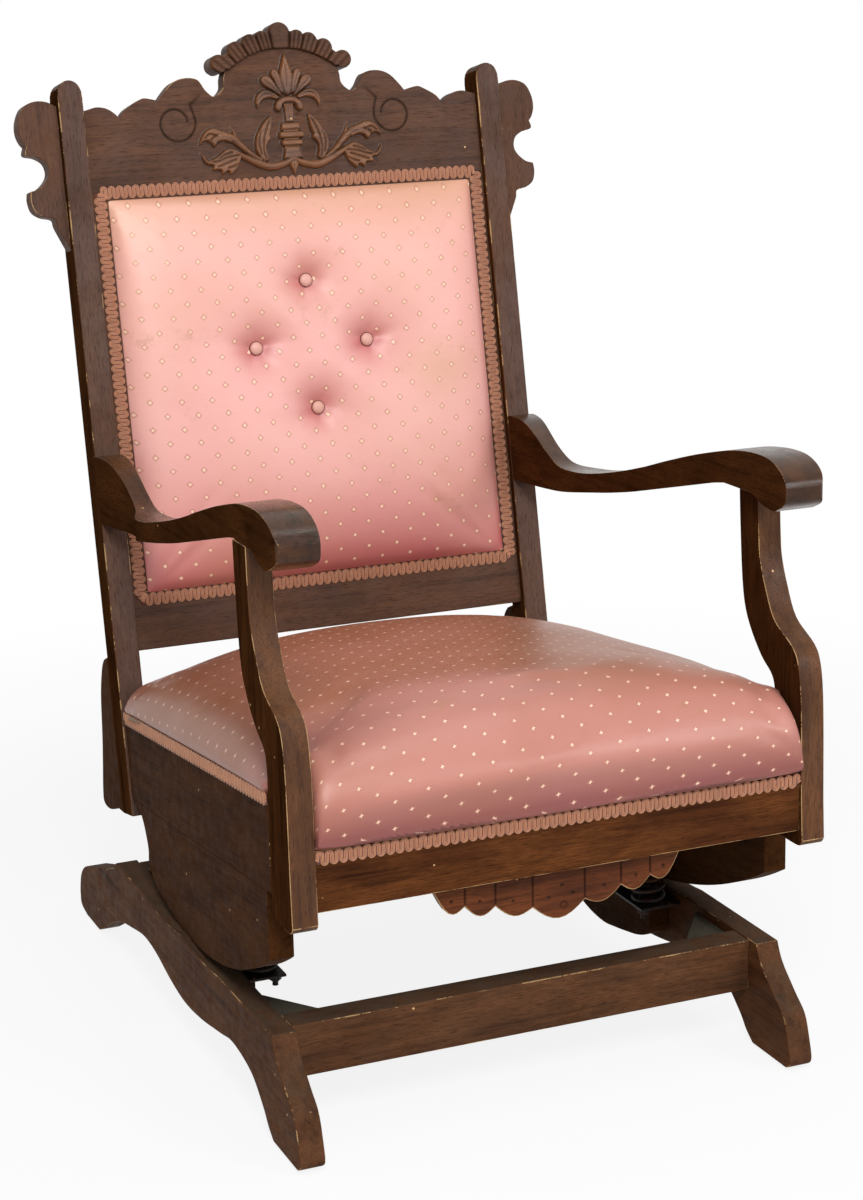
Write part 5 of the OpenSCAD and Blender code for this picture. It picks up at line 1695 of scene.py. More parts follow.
@dataclass(frozen=True)
class Leaf:
    """One raised form of the carving, in millimetres across and up the back.

    Attributes:
        outline: Its outline, in order.
        height: Its height over the ground.
        roll: Width over which its border rounds down.
        veins: Lines that are cut into it.
        groove: Depth of those lines.
        curved: Whether the outline runs smoothly through its points.
        slope: Rise of the form from its first outline point to its far end.
    """

    outline: tuple[Point2, ...]
    height: float
    roll: float = 3.0
    veins: tuple[tuple[Point2, ...], ...] = ()
    groove: float = 1.2
    curved: bool = True
    slope: float = 0.0

    def mirrored(self) -> "Leaf":
        """Give the same form on the other side of the middle."""
        outline, *veins = (tuple((-x, t) for x, t in run) for run in (self.outline, *self.veins))
        return replace(self, outline=outline, veins=tuple(veins))

    def relief(self, places: np.ndarray) -> np.ndarray:
        """Give the form's height at each place.

        Args:
            places: Array of pairs, in millimetres.

        Returns:
            The heights, 0 outside the form.
        """
        line = smooth_run(self.outline, 5, closed=True) if self.curved else np.array(self.outline, float)
        low, high = line.min(0) - 0.1, line.max(0) + 0.1
        near = ((places > low) & (places < high)).all(1)
        result = np.zeros(len(places))
        at = places[near]
        if not len(at):
            return result
        inside = within(at, line)
        gap = gap_to_line(at, line, closed=True)
        share = np.clip(gap / (0.62 * self.roll), 0, 1)
        rise = self.height * np.sqrt(1 - (1 - share) ** 2)
        if self.slope:
            start, end = np.array(self.outline[0]), line[np.argmax(np.hypot(*(line - line[0]).T))]
            run = np.clip((at - start) @ (end - start) / float((end - start) @ (end - start)), 0, 1)
            rise = rise * (1 + self.slope * run)
        for vein in self.veins:
            away = gap_to_line(at, smooth_run(vein, 5))
            rise = rise - 1.35 * self.groove * np.exp(-(away / 0.95) ** 2) * np.clip(gap / 1.2, 0, 1)
        result[near] = np.where(inside, np.maximum(rise, 0.12), 0)
        return result


@dataclass(frozen=True)
class Ridge:
    """A raised stem with a round back, in millimetres across and up the back.

    Attributes:
        line: Its middle line.
        widths: Half its width at each of the line's points.
        height: Its height over the ground.
    """

    line: tuple[Point2, ...]
    widths: tuple[float, ...]
    height: float

    def mirrored(self) -> "Ridge":
        """Give the same stem on the other side of the middle."""
        return replace(self, line=tuple((-x, t) for x, t in self.line))

    def relief(self, places: np.ndarray) -> np.ndarray:
        """Give the stem's height at each place.

        Args:
            places: Array of pairs, in millimetres.

        Returns:
            The heights, 0 outside the stem.
        """
        line = smooth_run(self.line, 14)
        last = len(self.widths) - 1
        widths = np.interp(np.linspace(0, last, len(line)), np.arange(last + 1), self.widths)
        share = np.full(len(places), 9.0)
        for spot, width in zip(line, widths):
            share = np.minimum(share, np.hypot(*(places - spot).T) / width)
        return self.height * np.sqrt(np.maximum(0, 1 - share ** 2))


def neighbours(grid: np.ndarray) -> np.ndarray:
    """Add up each cell's four neighbours; for yes and no, say whether any of them is yes."""
    pad = np.pad(grid, 1, mode="edge")
    return pad[:-2, 1:-1] + pad[2:, 1:-1] + pad[1:-1, :-2] + pad[1:-1, 2:]


@dataclass
class CrestCarving:
    """The flower, stem and leaves on the crest, raised over its face, in millimetres.

    Attributes:
        step: Distance between mesh points.
        sunk: How deep the mesh's outer rim lies in the crest.
        lean: How far the carving sits right of the middle.
        border: How many steps the mesh runs on past the raised forms, carrying painted shade round them.
        lip: Height of that run over the face.
        least: Least height of a raised form.
        middle: Forms on the middle line.
        paired: Forms that stand on both sides of it.
    """

    step: float = 0.62
    sunk: float = 0.35
    lean: float = 3.4
    border: int = 4
    lip: float = 0.14
    least: float = 0.4
    middle: tuple[Leaf | Ridge, ...] = (
        Leaf(((0, 1031), (-4.4, 1020), (-8.2, 1009), (-7.4, 998), (-4, 985), (4, 985), (7.4, 998), (8.2, 1009),
              (4.4, 1020)), 6.4, 5.5, (((0, 1026), (0, 1012), (0, 996)),), 0.9),
        Leaf(((-13.4, 965), (-17.4, 969), (-15.6, 976), (-8.5, 981), (0, 982.4), (8.5, 981), (15.6, 976),
              (17.4, 969), (13.4, 965), (9.4, 968), (6.6, 973.6), (0, 975), (-6.6, 973.6), (-9.4, 968)), 7.4, 4.0),
        Leaf(((-6.8, 975), (6.8, 975), (5.4, 966), (5.0, 953), (-5.0, 953), (-5.4, 966)), 4.2, 3.4,
             (((-3, 972), (-2.4, 955)), ((0.2, 972), (0.2, 955)), ((3.2, 972), (2.6, 955))), 1.0, curved=False),
        Leaf(((-11.0, 952.4), (11.0, 952.4), (12.4, 943.6), (-12.4, 943.6)), 5.6, 4.2, curved=False),
        Leaf(((-14.6, 942.2), (14.6, 942.2), (15.6, 938.4), (14.6, 934.6), (-14.6, 934.6), (-15.6, 938.4)),
             7.0, 3.6, curved=False),
        Leaf(((-12.4, 932.8), (12.4, 932.8), (13.2, 929.2), (12.2, 925.6), (-12.2, 925.6), (-13.2, 929.2)),
             6.6, 3.5, curved=False),
        Leaf(((-10.2, 946), (10.2, 946), (10.2, 920), (-10.2, 920)), 3.8, 3.0, curved=False),
        Leaf(((-8.6, 925.0), (8.6, 925.0), (12.4, 911.0), (-12.4, 911.0)), 5.4, 3.4, curved=False),
        Leaf(((0, 914.0), (-6.0, 904.5), (-3.2, 899), (0, 892.0), (3.2, 899), (6.0, 904.5)), 6.2, 4.4,
             (((0, 911), (0, 896)),), 0.8, curved=False),
    )
    paired: tuple[Leaf | Ridge, ...] = (
        Leaf(((4.2, 986), (6.4, 1001), (9.4, 1011.4), (15.4, 1014.2), (18.8, 1009), (15.2, 1000), (9.4, 988)),
             5.8, 4.0, (((8, 990), (12, 1001), (15.4, 1010)),), 0.7),
        Leaf(((6.6, 984), (11.6, 993), (17.6, 1003.2), (23, 1007), (29.6, 1005.6), (31.2, 1000), (27, 994.4),
              (18.4, 989.2), (10.2, 983.6)), 5.8, 4.0, (((12, 987), (20, 995.4), (28, 1002)),), 0.8),
        Leaf(((11, 982.6), (18, 988.2), (26, 991), (33.2, 989.4), (38.6, 983), (39.8, 976), (37.2, 969.8),
              (34.4, 975.4), (29.4, 979.6), (21, 980.8), (13.4, 979.2)), 5.8, 4.2,
             (((14, 982), (24, 985.8), (32, 983.8), (37.4, 976)),), 0.9),
        Leaf(((22.4, 962.4), (31.6, 955.4), (38.4, 946.4), (43.6, 936.0), (45.0, 924.6), (41.4, 915.4),
              (36.2, 909.4), (29.4, 911.6), (31.0, 918.6), (31.6, 925.4), (29.0, 930.4), (25.0, 934.6),
              (26.0, 938.6), (23.6, 945.6), (22.6, 954.0)),
             6.2, 4.0, (((24, 959), (30.4, 946), (34.4, 934), (35.4, 920), (33, 912)),
                        ((38.4, 942), (40.6, 930), (38.4, 918))), 1.7),
        Ridge(((-1, 911.5), (13.2, 905.6), (28.8, 903.6), (43.6, 908.4), (59.7, 916.4), (69, 922.2)),
              (3.0, 4.4, 4.9, 4.5, 3.5, 2.4), 6.6),
        Ridge(((40.0, 911.6), (51.7, 919.6), (60.0, 927.4), (68.4, 935.4), (77.4, 940.4), (86.4, 941.4)),
              (2.2, 3.2, 4.0, 4.6, 4.9, 4.4), 6.4),
        Leaf(((78.4, 945.6), (84.6, 947.6), (92.4, 950.4), (100.6, 948.8), (106.6, 943.4), (111.4, 932.2),
              (105.4, 936.2), (98.8, 934.4), (94.0, 929.0), (88.4, 934.0), (80.6, 935.0), (73.6, 932.4),
              (71.6, 938.6)), 6.2, 4.2,
             (((70, 934.6), (80, 940.2), (90, 941.6), (96, 938.4), (99, 934.6)),
              ((92, 941.6), (99, 943.4), (106, 938.6))), 1.7),
        Leaf(((60.8, 928.4), (64.4, 938.2), (71.4, 951.0), (69.4, 941.4), (66.4, 933.4)), 3.2, 2.2),
        Leaf(((62.6, 919.6), (68.4, 924.2), (75.4, 927.2), (83.0, 924.6), (91.2, 918.4), (100.4, 914.6),
              (105.8, 917.4), (110.2, 923.4), (108.6, 914.6), (103.6, 909.4), (97.6, 908.0), (99.0, 902.8),
              (89.6, 902.6), (87.0, 897.6), (80.2, 901.0), (77.4, 897.0), (69.6, 902.4), (63.6, 912.6)),
             6.0, 3.8, (((63.9, 918.2), (79.2, 916.4), (94.5, 911.8), (105.2, 914.8)),
                        ((70, 913.6), (79.2, 910.4), (92, 906.2)), ((67, 908.4), (74.6, 905.4), (80, 904.2)),
                        ((74, 921.6), (82, 919.6), (89, 916.2))), 1.5),
    )

    def build(self, palette: Palette) -> list[bpy.types.Object]:
        """Raise the carving on the crest's face.

        Args:
            palette: The finishes.

        Returns:
            The carving.
        """
        gx, gt = np.meshgrid(np.arange(-113, 121.01, self.step), np.arange(887, 1036, self.step))
        places = np.stack([gx.ravel() - self.lean, gt.ravel()], axis=1)
        height = np.zeros(len(places))
        for form in (*self.middle, *(f for one in self.paired for f in (one, one.mirrored()))):
            height = np.maximum(height, form.relief(places))
        grid = height.reshape(gx.shape)
        soft = (4 * grid + neighbours(grid)) / 8
        near = raised = grid > 0
        for _ in range(self.border):
            rim = near
            near = near | neighbours(near)
        up = np.where(raised, np.maximum(soft, self.least), np.where(rim, self.lip, -self.sunk))
        world = BACK.place_all(MM * np.stack([gx.ravel(), up.ravel(), gt.ravel()], axis=1))
        kept = near.ravel()
        index = np.where(kept, np.cumsum(kept) - 1, -1)
        faces = index[np.array(grid_faces(*gx.shape))]
        obj = new_piece("crest_carving", world[kept], faces[faces.min(axis=1) >= 0])
        blurred = soft
        for _ in range(6):
            blurred = (blurred + neighbours(blurred)) / 5
        proud = (soft - blurred).ravel()[kept]
        # rubbed wear on the proud ridges, and with it a painted highlight along them
        write_number(obj, "edge", np.clip(proud / 0.9, 0, 1) * 0.6)
        # painted shade in the carving's hollows and on the ground round its forms
        write_number(obj, "hollow", np.clip(np.maximum(-proud / 0.8, 0.75 * ~raised.ravel()[kept]), 0, 1))
        lay_grain(obj, Along.ACROSS, "crest_carving")
        fit_out(obj, palette.carving_walnut, Body.CHAIR)
        return [obj]


# Upholstery


def soften(points: np.ndarray, pairs: np.ndarray, rounds: int, share: float, held: np.ndarray | None = None
           ) -> np.ndarray:
    """Ease a mesh's points towards their neighbours.

    Args:
        points: The mesh's points.
        pairs: Its edges, as pairs of indices.
        rounds: How many times they move.
        share: How far each moves every time.
        held: A weight of 1 per point that stays, or None.

    Returns:
        The eased points.
    """
    p = points
    count = np.maximum(np.bincount(pairs.ravel(), minlength=len(p)), 1)[:, None]
    free = share * (1 - (np.zeros(len(p)) if held is None else held))[:, None]
    for _ in range(rounds):
        total = np.zeros_like(p)
        np.add.at(total, pairs[:, 0], p[pairs[:, 1]])
        np.add.at(total, pairs[:, 1], p[pairs[:, 0]])
        p = p + (total / count - p) * free
    return p


def edge_pairs(obj: bpy.types.Object) -> np.ndarray:
    """Give the object's mesh edges as pairs of indices."""
    ids = np.empty(len(obj.data.edges) * 2, np.int32)
    obj.data.edges.foreach_get("vertices", ids)
    return ids.reshape(-1, 2)


def keep_applied(obj: bpy.types.Object) -> None:
    """Turn the object's modifiers into its mesh."""
    graph = bpy.context.evaluated_depsgraph_get()
    graph.update()
    baked = bpy.data.meshes.new_from_object(obj.evaluated_get(graph))
    old = obj.data
    obj.modifiers.clear()
    obj.data = baked
    bpy.data.meshes.remove(old)
    obj.data.polygons.foreach_set("use_smooth", [True] * len(obj.data.polygons))
    obj.data.update()


def stuffed(obj: bpy.types.Object, held: np.ndarray, pressure: float, cap: float, frames: int) -> None:
    """Let the cover swell under its stuffing with a cloth simulation, and keep the result.

    Args:
        obj: The cover.
        held: A weight of 1 per point that is sewn or tacked down.
        pressure: The stuffing's push.
        cap: The farthest that a point may move.
        frames: Steps of the simulation.
    """
    scene = bpy.context.scene
    rest = mesh_points(obj)
    group = obj.vertex_groups.new(name="tacked")
    weights = np.round(held, 2)
    for weight in np.unique(weights[weights > 0]):
        group.add(np.nonzero(weights == weight)[0].tolist(), float(weight), "REPLACE")
    cloth = obj.modifiers.new("Stuffing", "CLOTH")
    for name, value in (
        ("quality", 5), ("mass", 0.3), ("tension_stiffness", 18), ("compression_stiffness", 18),
        ("shear_stiffness", 8), ("bending_stiffness", 0.8), ("use_pressure", True),
        ("uniform_pressure_force", pressure), ("vertex_group_mass", "tacked"), ("pin_stiffness", 1.0),
    ):
        setattr(cloth.settings, name, value)
    cloth.settings.effector_weights.gravity = 0
    cloth.collision_settings.use_collision = False
    cloth.point_cache.frame_start = 1
    cloth.point_cache.frame_end = frames
    for f in range(1, frames + 1):
        scene.frame_set(f)
    moved = mesh_points(obj.evaluated_get(bpy.context.evaluated_depsgraph_get()))
    obj.modifiers.clear()
    obj.vertex_groups.clear()
    scene.frame_set(1)
    shift = np.nan_to_num(moved - rest)
    size = np.maximum(np.linalg.norm(shift, axis=1), 1e-9)
    set_points(obj, rest + shift * np.minimum(1, cap / size)[:, None])


def thickened(obj: bpy.types.Object, offset: float = -1.0) -> None:
    """Give a sheet the thickness of its cloth, on one side or, with an offset of 0, on both."""
    step = obj.modifiers.new("Thickness", "SOLIDIFY")
    step.thickness = CLOTH_THICK
    step.offset = offset
    keep_applied(obj)


def refined(obj: bpy.types.Object) -> None:
    """Cut the object's mesh once more with a smoothing subdivision."""
    step = obj.modifiers.new("Finer", "SUBSURF")
    step.levels = step.render_levels = 1
    keep_applied(obj)


@dataclass
class BackPad:
    """The tufted back: pad, four covered buttons and the cloth behind.

    Attributes:
        half: Half the pad's width.
        mid_up: Its middle up the raked back.
        tall: Half its height.
        crown: How far it swells.
        tuft: How far the buttons pull it in.
        cells: Mesh points along each side of its grid.
        buttons: The buttons' places across and up the back.
        button_r: Their radius.
        dome: Profile of a button, in shares of its radius and metres.
    """

    half: float = 0.2212
    mid_up: float = 0.65475
    tall: float = 0.22145
    crown: float = 0.024
    tuft: float = 0.0135
    cells: int = 78
    buttons: tuple[Point2, ...] = ((0.0, 0.7708), (-0.0679, 0.6974), (0.0679, 0.6974), (0.0, 0.6240))
    button_r: float = 0.0080
    dome: tuple[Point2, ...] = (
        (0.0, -0.0008), (0.86, -0.0008), (0.95, 0.0004), (0.93, 0.0018), (0.86, 0.0029), (0.74, 0.0037),
        (0.55, 0.0044), (0.3, 0.0048), (0.0, 0.0049),
    )

    def build(self, palette: Palette) -> list[bpy.types.Object]:
        """Dress the back.

        Args:
            palette: The finishes.

        Returns:
            The pieces made.
        """
        return [self.pad(palette), *self.covered_buttons(palette), self.rear_cloth(palette)]

    def swell(self, x: np.ndarray, up: np.ndarray) -> np.ndarray:
        """Give the pad's height over its panel before the tufts."""
        u, v = np.abs(x) / self.half, np.abs(up - self.mid_up) / self.tall
        return self.crown * (np.maximum(0, 1 - u ** 4.5) * np.maximum(0, 1 - v ** 5.0)) ** 0.55

    def pad(self, palette: Palette) -> bpy.types.Object:
        """Stuff and tuft the pad."""
        n = self.cells
        gx, gu = np.meshgrid(np.linspace(-self.half, self.half, n),
                             np.linspace(self.mid_up - self.tall, self.mid_up + self.tall, n))
        out = 0.0012 + self.swell(gx, gu)
        rim = (np.abs(gx) > self.half - 1e-6) | (np.abs(gu - self.mid_up) > self.tall - 1e-6)
        out[rim] = 0.0006
        local = np.stack([gx.ravel(), out.ravel(), gu.ravel()], axis=1)
        floor = np.stack([gx.ravel(), np.full(gx.size, 0.0004), gu.ravel()], axis=1)
        top = n * n
        faces = []
        for a, b, c, d in grid_faces(n, n):
            faces += [(a, b, c, d), (top + a, top + d, top + c, top + b)]
        ring = [*range(n), *range(2 * n - 1, top, n), *range(top - 2, top - n - 1, -1),
                *range(top - 2 * n, 0, -n)]
        faces += [(b, a, top + a, top + b) for a, b in zip(ring, ring[1:] + ring[:1])]
        obj = new_piece("back_pad_cover", BACK.place_all(np.vstack([local, floor])), faces)
        p = BACK.read(mesh_points(obj))
        gap = self.button_gap(p)
        border = np.minimum(self.half - np.abs(p[:, 0]), self.tall - np.abs(p[:, 2] - self.mid_up))
        front = p[:, 1] > 0.0009
        pull = np.where(front, self.tuft * np.exp(-(np.maximum(gap - 0.006, 0) / 0.019) ** 1.1), 0)
        p[:, 1] -= pull
        set_points(obj, BACK.place_all(p))
        held = np.where(~front | (border < 0.005) | (gap < 0.009), 1.0, 0.0)
        stuffed(obj, held, 2.2, 0.006, 16)
        refined(obj)
        p = BACK.read(mesh_points(obj))
        p[:, 1] += self.folds(p)
        p[:, 1] = np.maximum(p[:, 1], 0.0003)
        set_points(obj, BACK.place_all(p))
        self.shade(obj, p)
        lay_cloth(obj, p[:, 0] + 3.0, p[:, 2] + 0.35 * p[:, 1] + 2.0)
        fit_out(obj, palette.back_satin, Body.CHAIR, "back_pad")
        return obj

    def button_gap(self, p: np.ndarray) -> np.ndarray:
        """Give each point's distance, across and up the back, to the nearest button's middle."""
        return np.min([np.hypot(p[:, 0] - bx, p[:, 2] - bu) for bx, bu in self.buttons], axis=0)

    def shade(self, obj: bpy.types.Object, p: np.ndarray) -> None:
        """Store the painted shade round the tufts, towards the bottom and at the right edge, and where the pad's
        cloth is browner.

        Args:
            obj: The pad.
            p: Its points as across, out and up.
        """
        near = self.button_gap(p)
        # painted shade: darker towards the bottom, round and beside each button, and at the right edge
        low = np.clip((0.17 - (p[:, 2] - self.mid_up + self.tall)) / 0.17, 0, 1) ** 1.5
        shade = 0.95 * np.exp(-(near / 0.023) ** 1.2) + 0.92 * low
        for bx, bu in self.buttons:
            streak = np.exp(-((p[:, 2] - bu + 0.004) / 0.006) ** 2) * np.exp(-(np.abs(p[:, 0] - bx) / 0.022))
            shade += 0.35 * streak
        shade += 0.3 * np.clip((p[:, 0] - self.half + 0.022) / 0.022, 0, 1) ** 2
        write_number(obj, "fold", np.clip(shade, 0, 1))
        # browner along the top and in one patch right of the middle
        high = np.clip((p[:, 2] - self.mid_up - self.tall + 0.075) / 0.075, 0, 1)
        below = np.exp(-((p[:, 0] - 0.15) / 0.05) ** 2 - ((p[:, 2] - 0.66) / 0.035) ** 2)
        write_number(obj, "soil", np.clip(0.75 * high ** 1.3 + 0.5 * below, 0, 1))

    def folds(self, p: np.ndarray) -> np.ndarray:
        """Give the soft creases that run out from each button.

        Args:
            p: Points as across, out and up.

        Returns:
            How far each point moves out, in metres.
        """
        lift = np.zeros(len(p))
        front = p[:, 1] > 0.004
        for k, (bx, bu) in enumerate(self.buttons):
            dx, du = p[:, 0] - bx, p[:, 2] - bu
            r = np.hypot(dx, du)
            a = np.arctan2(du, dx)
            fade = np.exp(-(np.maximum(r - 0.010, 0) / 0.024)) * np.clip((r - 0.006) / 0.006, 0, 1)
            lift -= 0.0021 * fade * np.maximum(0, np.cos(a - 0.15 * k)) ** 14
            lift -= 0.0019 * fade * np.maximum(0, np.cos(a - math.pi + 0.1 * k)) ** 16
            lift += 0.0008 * fade * np.cos(5 * a + 1.3 * k)
        return np.where(front, lift, 0)

    def covered_buttons(self, palette: Palette) -> list[bpy.types.Object]:
        """Turn the buttons, each a satin dome in a dark rim."""
        forward = BACK.way(0, 1, 0)
        local = BACK.read(mesh_points(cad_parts["back_buttons"]))
        dome = [(share * self.button_r, height) for share, height in self.dome]
        t = np.linspace(0, 2 * math.pi, 40, endpoint=False)
        round_x, round_up = 0.955 * self.button_r * np.cos(t), 0.955 * self.button_r * np.sin(t)
        domes, rims = Shapes(), Shapes()
        for bx, bu in self.buttons:
            mine = local[np.hypot(local[:, 0] - bx, local[:, 2] - bu) < 1.5 * self.button_r]
            seat = float(mine[:, 1].min())
            domes.add(*lathe(dome, BACK.place(bx, seat, bu), forward, 32))
            ring = np.stack([bx + round_x, np.full(len(t), seat + 0.0012), bu + round_up], axis=1)
            rims.add(*tube(BACK.place_all(ring), 0.00075, 8, closed=True, normal=tuple(forward)))
        made = []
        for name, shapes, finish in (("button_domes", domes, palette.button_satin),
                                     ("button_rims", rims, palette.button_rim)):
            obj = shapes.piece(name)
            p = BACK.read(mesh_points(obj))
            lay_cloth(obj, p[:, 0] + 5.013, p[:, 2] + 5.017)
            fit_out(obj, finish, Body.CHAIR)
            made.append(obj)
        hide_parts("back_buttons")
        return made

    def rear_cloth(self, palette: Palette) -> bpy.types.Object:
        """Stretch the cloth over the rear of the back, with a turned hem."""
        co = BACK.read(mesh_points(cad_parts["back_cover"]))
        (x0, _, t0), (x1, out, t1) = co.min(axis=0), co.max(axis=0)
        gx, gt = np.meshgrid(np.linspace(x0, x1, 60), np.linspace(t0, t1, 64))
        edge = np.minimum(np.minimum(gx - x0, x1 - gx), np.minimum(gt - t0, t1 - gt))
        sag = 0.0006 * np.sin(gx * 38) * np.sin(gt * 31) * np.clip(edge / 0.05, 0, 1)
        hem = 0.0007 * np.exp(-((edge - 0.004) / 0.003) ** 2)
        lift = out - 0.0004 - hem - np.abs(sag) * 0.5
        local = np.stack([gx.ravel(), lift.ravel(), gt.ravel()], axis=1)
        obj = new_piece("rear_cloth", BACK.place_all(local), turned(grid_faces(*gx.shape)))
        thickened(obj)
        p = BACK.read(mesh_points(obj))
        lay_cloth(obj, p[:, 0] + 7.0, p[:, 2] + 7.0)
        # painted shade laid evenly over the whole rear cloth
        write_number(obj, "fold", np.full(len(p), 0.35))
        fit_out(obj, palette.back_satin, Body.CHAIR, "back_cover")
        return obj


@dataclass
class SeatUpholstery:
    """The sprung seat: stuffed cover, webbing and the cloth below.

    Attributes:
        seam_z: Height of the side rails' lower edge at the middle of the depth.
        tilt: How far the seat falls towards the rear.
        rail_h: Height of the side rails.
        edge: How far the stuffing stands over the rails at its sides.
        crown: How much higher it stands in the middle.
        tacked: How far the cover's lower edge stands over the rails.
        rear_y: Where the cover ends at the rear.
        step_y: Where it widens from between the back posts.
        nose_y: Where it narrows behind the front posts.
        roll_y: Where the front roll starts.
        front_y: Where the roll stands out farthest.
        inner: Half the cover's width between the back posts.
        between: Half its width between the front posts.
        rail_half: Half the seat frame's width at its rear end.
        rail_rear: Where that end is.
        narrow_y: Where the lower cloth narrows between the front posts.
        narrow_half: Half its width there.
        lap: How far it stays inside the frame's sides.
        columns: Mesh points across the cover.
        stations: Rings of mesh points from the rear to the roll's foot.
        walls: Steps from the cover's lower edge up its side.
        skew: How far the sprigs' rows run askew.
        top_shares: Share of the depth and of the stuffing's height at stations over the rails.
        roll_shares: The same down the front roll.
    """

    seam_z: float = 0.228
    tilt: float = math.radians(7.5)
    rail_h: float = 0.097
    edge: float = 0.046
    crown: float = 0.030
    tacked: float = 0.0003
    rear_y: float = 0.2196
    step_y: float = 0.2112
    nose_y: float = -0.3317
    roll_y: float = -0.3347
    front_y: float = -0.397
    inner: float = 0.2392
    between: float = 0.25668
    rail_half: float = 0.265
    rail_rear: float = 0.2065
    narrow_y: float = -0.335
    narrow_half: float = 0.2569
    lap: float = 0.0265
    columns: int = 57
    stations: int = 92
    walls: int = 6
    skew: float = 0.22
    top_shares: tuple[Point2, ...] = (
        (0, 0.8), (0.04, 0.92), (0.11, 1), (0.23, 1.08), (0.38, 1.1), (0.55, 1.07), (0.72, 1.03), (0.87, 1),
        (1, 0.96),
    )
    roll_shares: tuple[Point2, ...] = (
        (0, 1), (0.1, 0.992), (0.26, 0.962), (0.5, 0.895), (0.7, 0.795), (0.86, 0.665), (0.96, 0.5), (1.0, 0.34),
        (0.99, 0.16), (0.93, 0),
    )

    def rail_top(self, y: float | np.ndarray) -> float | np.ndarray:
        """Give the height of the side rails' top at a depth or at each depth."""
        return self.seam_z - y * math.tan(self.tilt) + self.rail_h / math.cos(self.tilt)

    def rail_x(self, y: float | np.ndarray) -> float | np.ndarray:
        """Give the outer face of the side rails at a depth or at each depth."""
        return self.rail_half + (self.rail_rear - y) * 0.03432

    def frame_x(self, y: float | np.ndarray) -> float | np.ndarray:
        """Give the side rails' outer face as the braid and the lower cloth follow it."""
        return self.rail_half + (self.rail_rear - y) * RAIL_FLARE

    def crown_at(self, u: np.ndarray) -> np.ndarray:
        """Give the stuffing's height over the rails at each share of the width."""
        side = np.maximum(0, 1 - np.abs(u) ** 6) ** 0.62
        return self.edge * (0.5 + 0.5 * side) + self.crown * (1 - u * u)

    def build(self, palette: Palette) -> list[bpy.types.Object]:
        """Dress the seat.

        Args:
            palette: The finishes.

        Returns:
            The pieces made.
        """
        return [self.cushion(palette), self.webbing(palette), self.under_cloth(palette)]

    def sections(self, u: np.ndarray) -> tuple[np.ndarray, np.ndarray]:
        """Give the cushion's top and floor at a few stations from the rear to the front roll's foot.

        Args:
            u: Shares of the width, from -1 to 1.

        Returns:
            Two arrays of stations by shares by three.
        """
        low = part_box("front_rail")[1].z + 0.0003
        top, floor = [], []

        def add(x: np.ndarray, y: float, z: np.ndarray, floor_y: float, floor_z: float) -> None:
            """Keep one station."""
            top.append(np.stack([x, np.full_like(x, y), z], axis=1))
            floor.append(np.stack([x, np.full_like(x, floor_y), np.full_like(x, floor_z)], axis=1))

        def tack(y: float) -> float:
            """Give the height of the cover's lower edge on the rails."""
            return self.rail_top(y) + self.tacked

        crown = self.crown_at(u)
        at_rear = self.crown_at(u * self.inner / self.rail_x(self.step_y))
        for y, share in ((self.rear_y, 0.55), (self.step_y + 0.0006, 0.8)):
            add(u * self.inner, y, self.rail_top(y) + share * at_rear, y, tack(y))
        tucked = np.clip((np.abs(u) - 0.84) / 0.06, 0, 1)
        tucked = 1 - 0.5 * tucked * tucked * (3 - 2 * tucked)
        for place, share in self.top_shares:
            y = self.step_y + place * (self.nose_y - self.step_y)
            down = tucked if place == 1 else (1 - 0.35 * (1 - tucked) if place == 0.87 else 1.0)
            add(u * (self.rail_x(y) - 0.0003), y, self.rail_top(y) + share * crown * down, y, tack(y))
        nose_share = self.top_shares[-1][1]
        y = (self.nose_y + self.roll_y) / 2
        add(u * self.between, y, self.rail_top(y) + nose_share * crown * tucked, y, tack(y))
        at_roll = self.crown_at(u * self.between / self.rail_x(self.roll_y))
        nose = self.rail_top(self.roll_y) + nose_share * at_roll
        for i, (place, share) in enumerate(self.roll_shares):
            y = self.roll_y + place * (self.front_y - self.roll_y)
            floor_y = self.roll_y + 0.85 * i / (len(self.roll_shares) - 1) * (self.front_y - self.roll_y)
            floor_z = tack(self.roll_y) if i == 0 else low
            add(u * self.between, y, low + share * (nose - low), floor_y, floor_z)
        return np.array(top), np.array(floor)

    def cushion(self, palette: Palette) -> bpy.types.Object:
        """Lay the seat cover over the cushion's form and stuff it."""
        even = np.linspace(-1, 1, self.columns)
        u = np.sin(even * math.pi / 2) * 0.35 + even * 0.65
        top, floor = self.sections(u)
        mid = top[:, self.columns // 2]
        run = np.concatenate([[0], np.cumsum(np.linalg.norm(np.diff(mid, axis=0), axis=1))])
        length = np.linspace(0, run[-1], self.stations)
        spots = np.interp(length, run, np.arange(len(run)))
        first = np.minimum(spots.astype(int), len(run) - 2)
        part = (spots - first)[:, None, None]
        top = top[first] * (1 - part) + top[first + 1] * part
        floor = floor[first] * (1 - part) + floor[first + 1] * part
        rise = (np.arange(1, self.walls) / self.walls)[:, None]
        bulge = 0.0035 * np.sin(math.pi * rise[:, 0]) * (top[:, -1:, 1] > self.roll_y + 0.0005)

        def wall(end: int, sign: float) -> tuple[np.ndarray, np.ndarray]:
            """Give the points up one side of each station and their places across the cloth."""
            side = floor[:, None, end] * (1 - rise) + top[:, None, end] * rise
            side[..., 0] += sign * bulge
            return side, top[:, None, end, 0] + sign * np.linalg.norm(top[:, None, end] - side, axis=2)

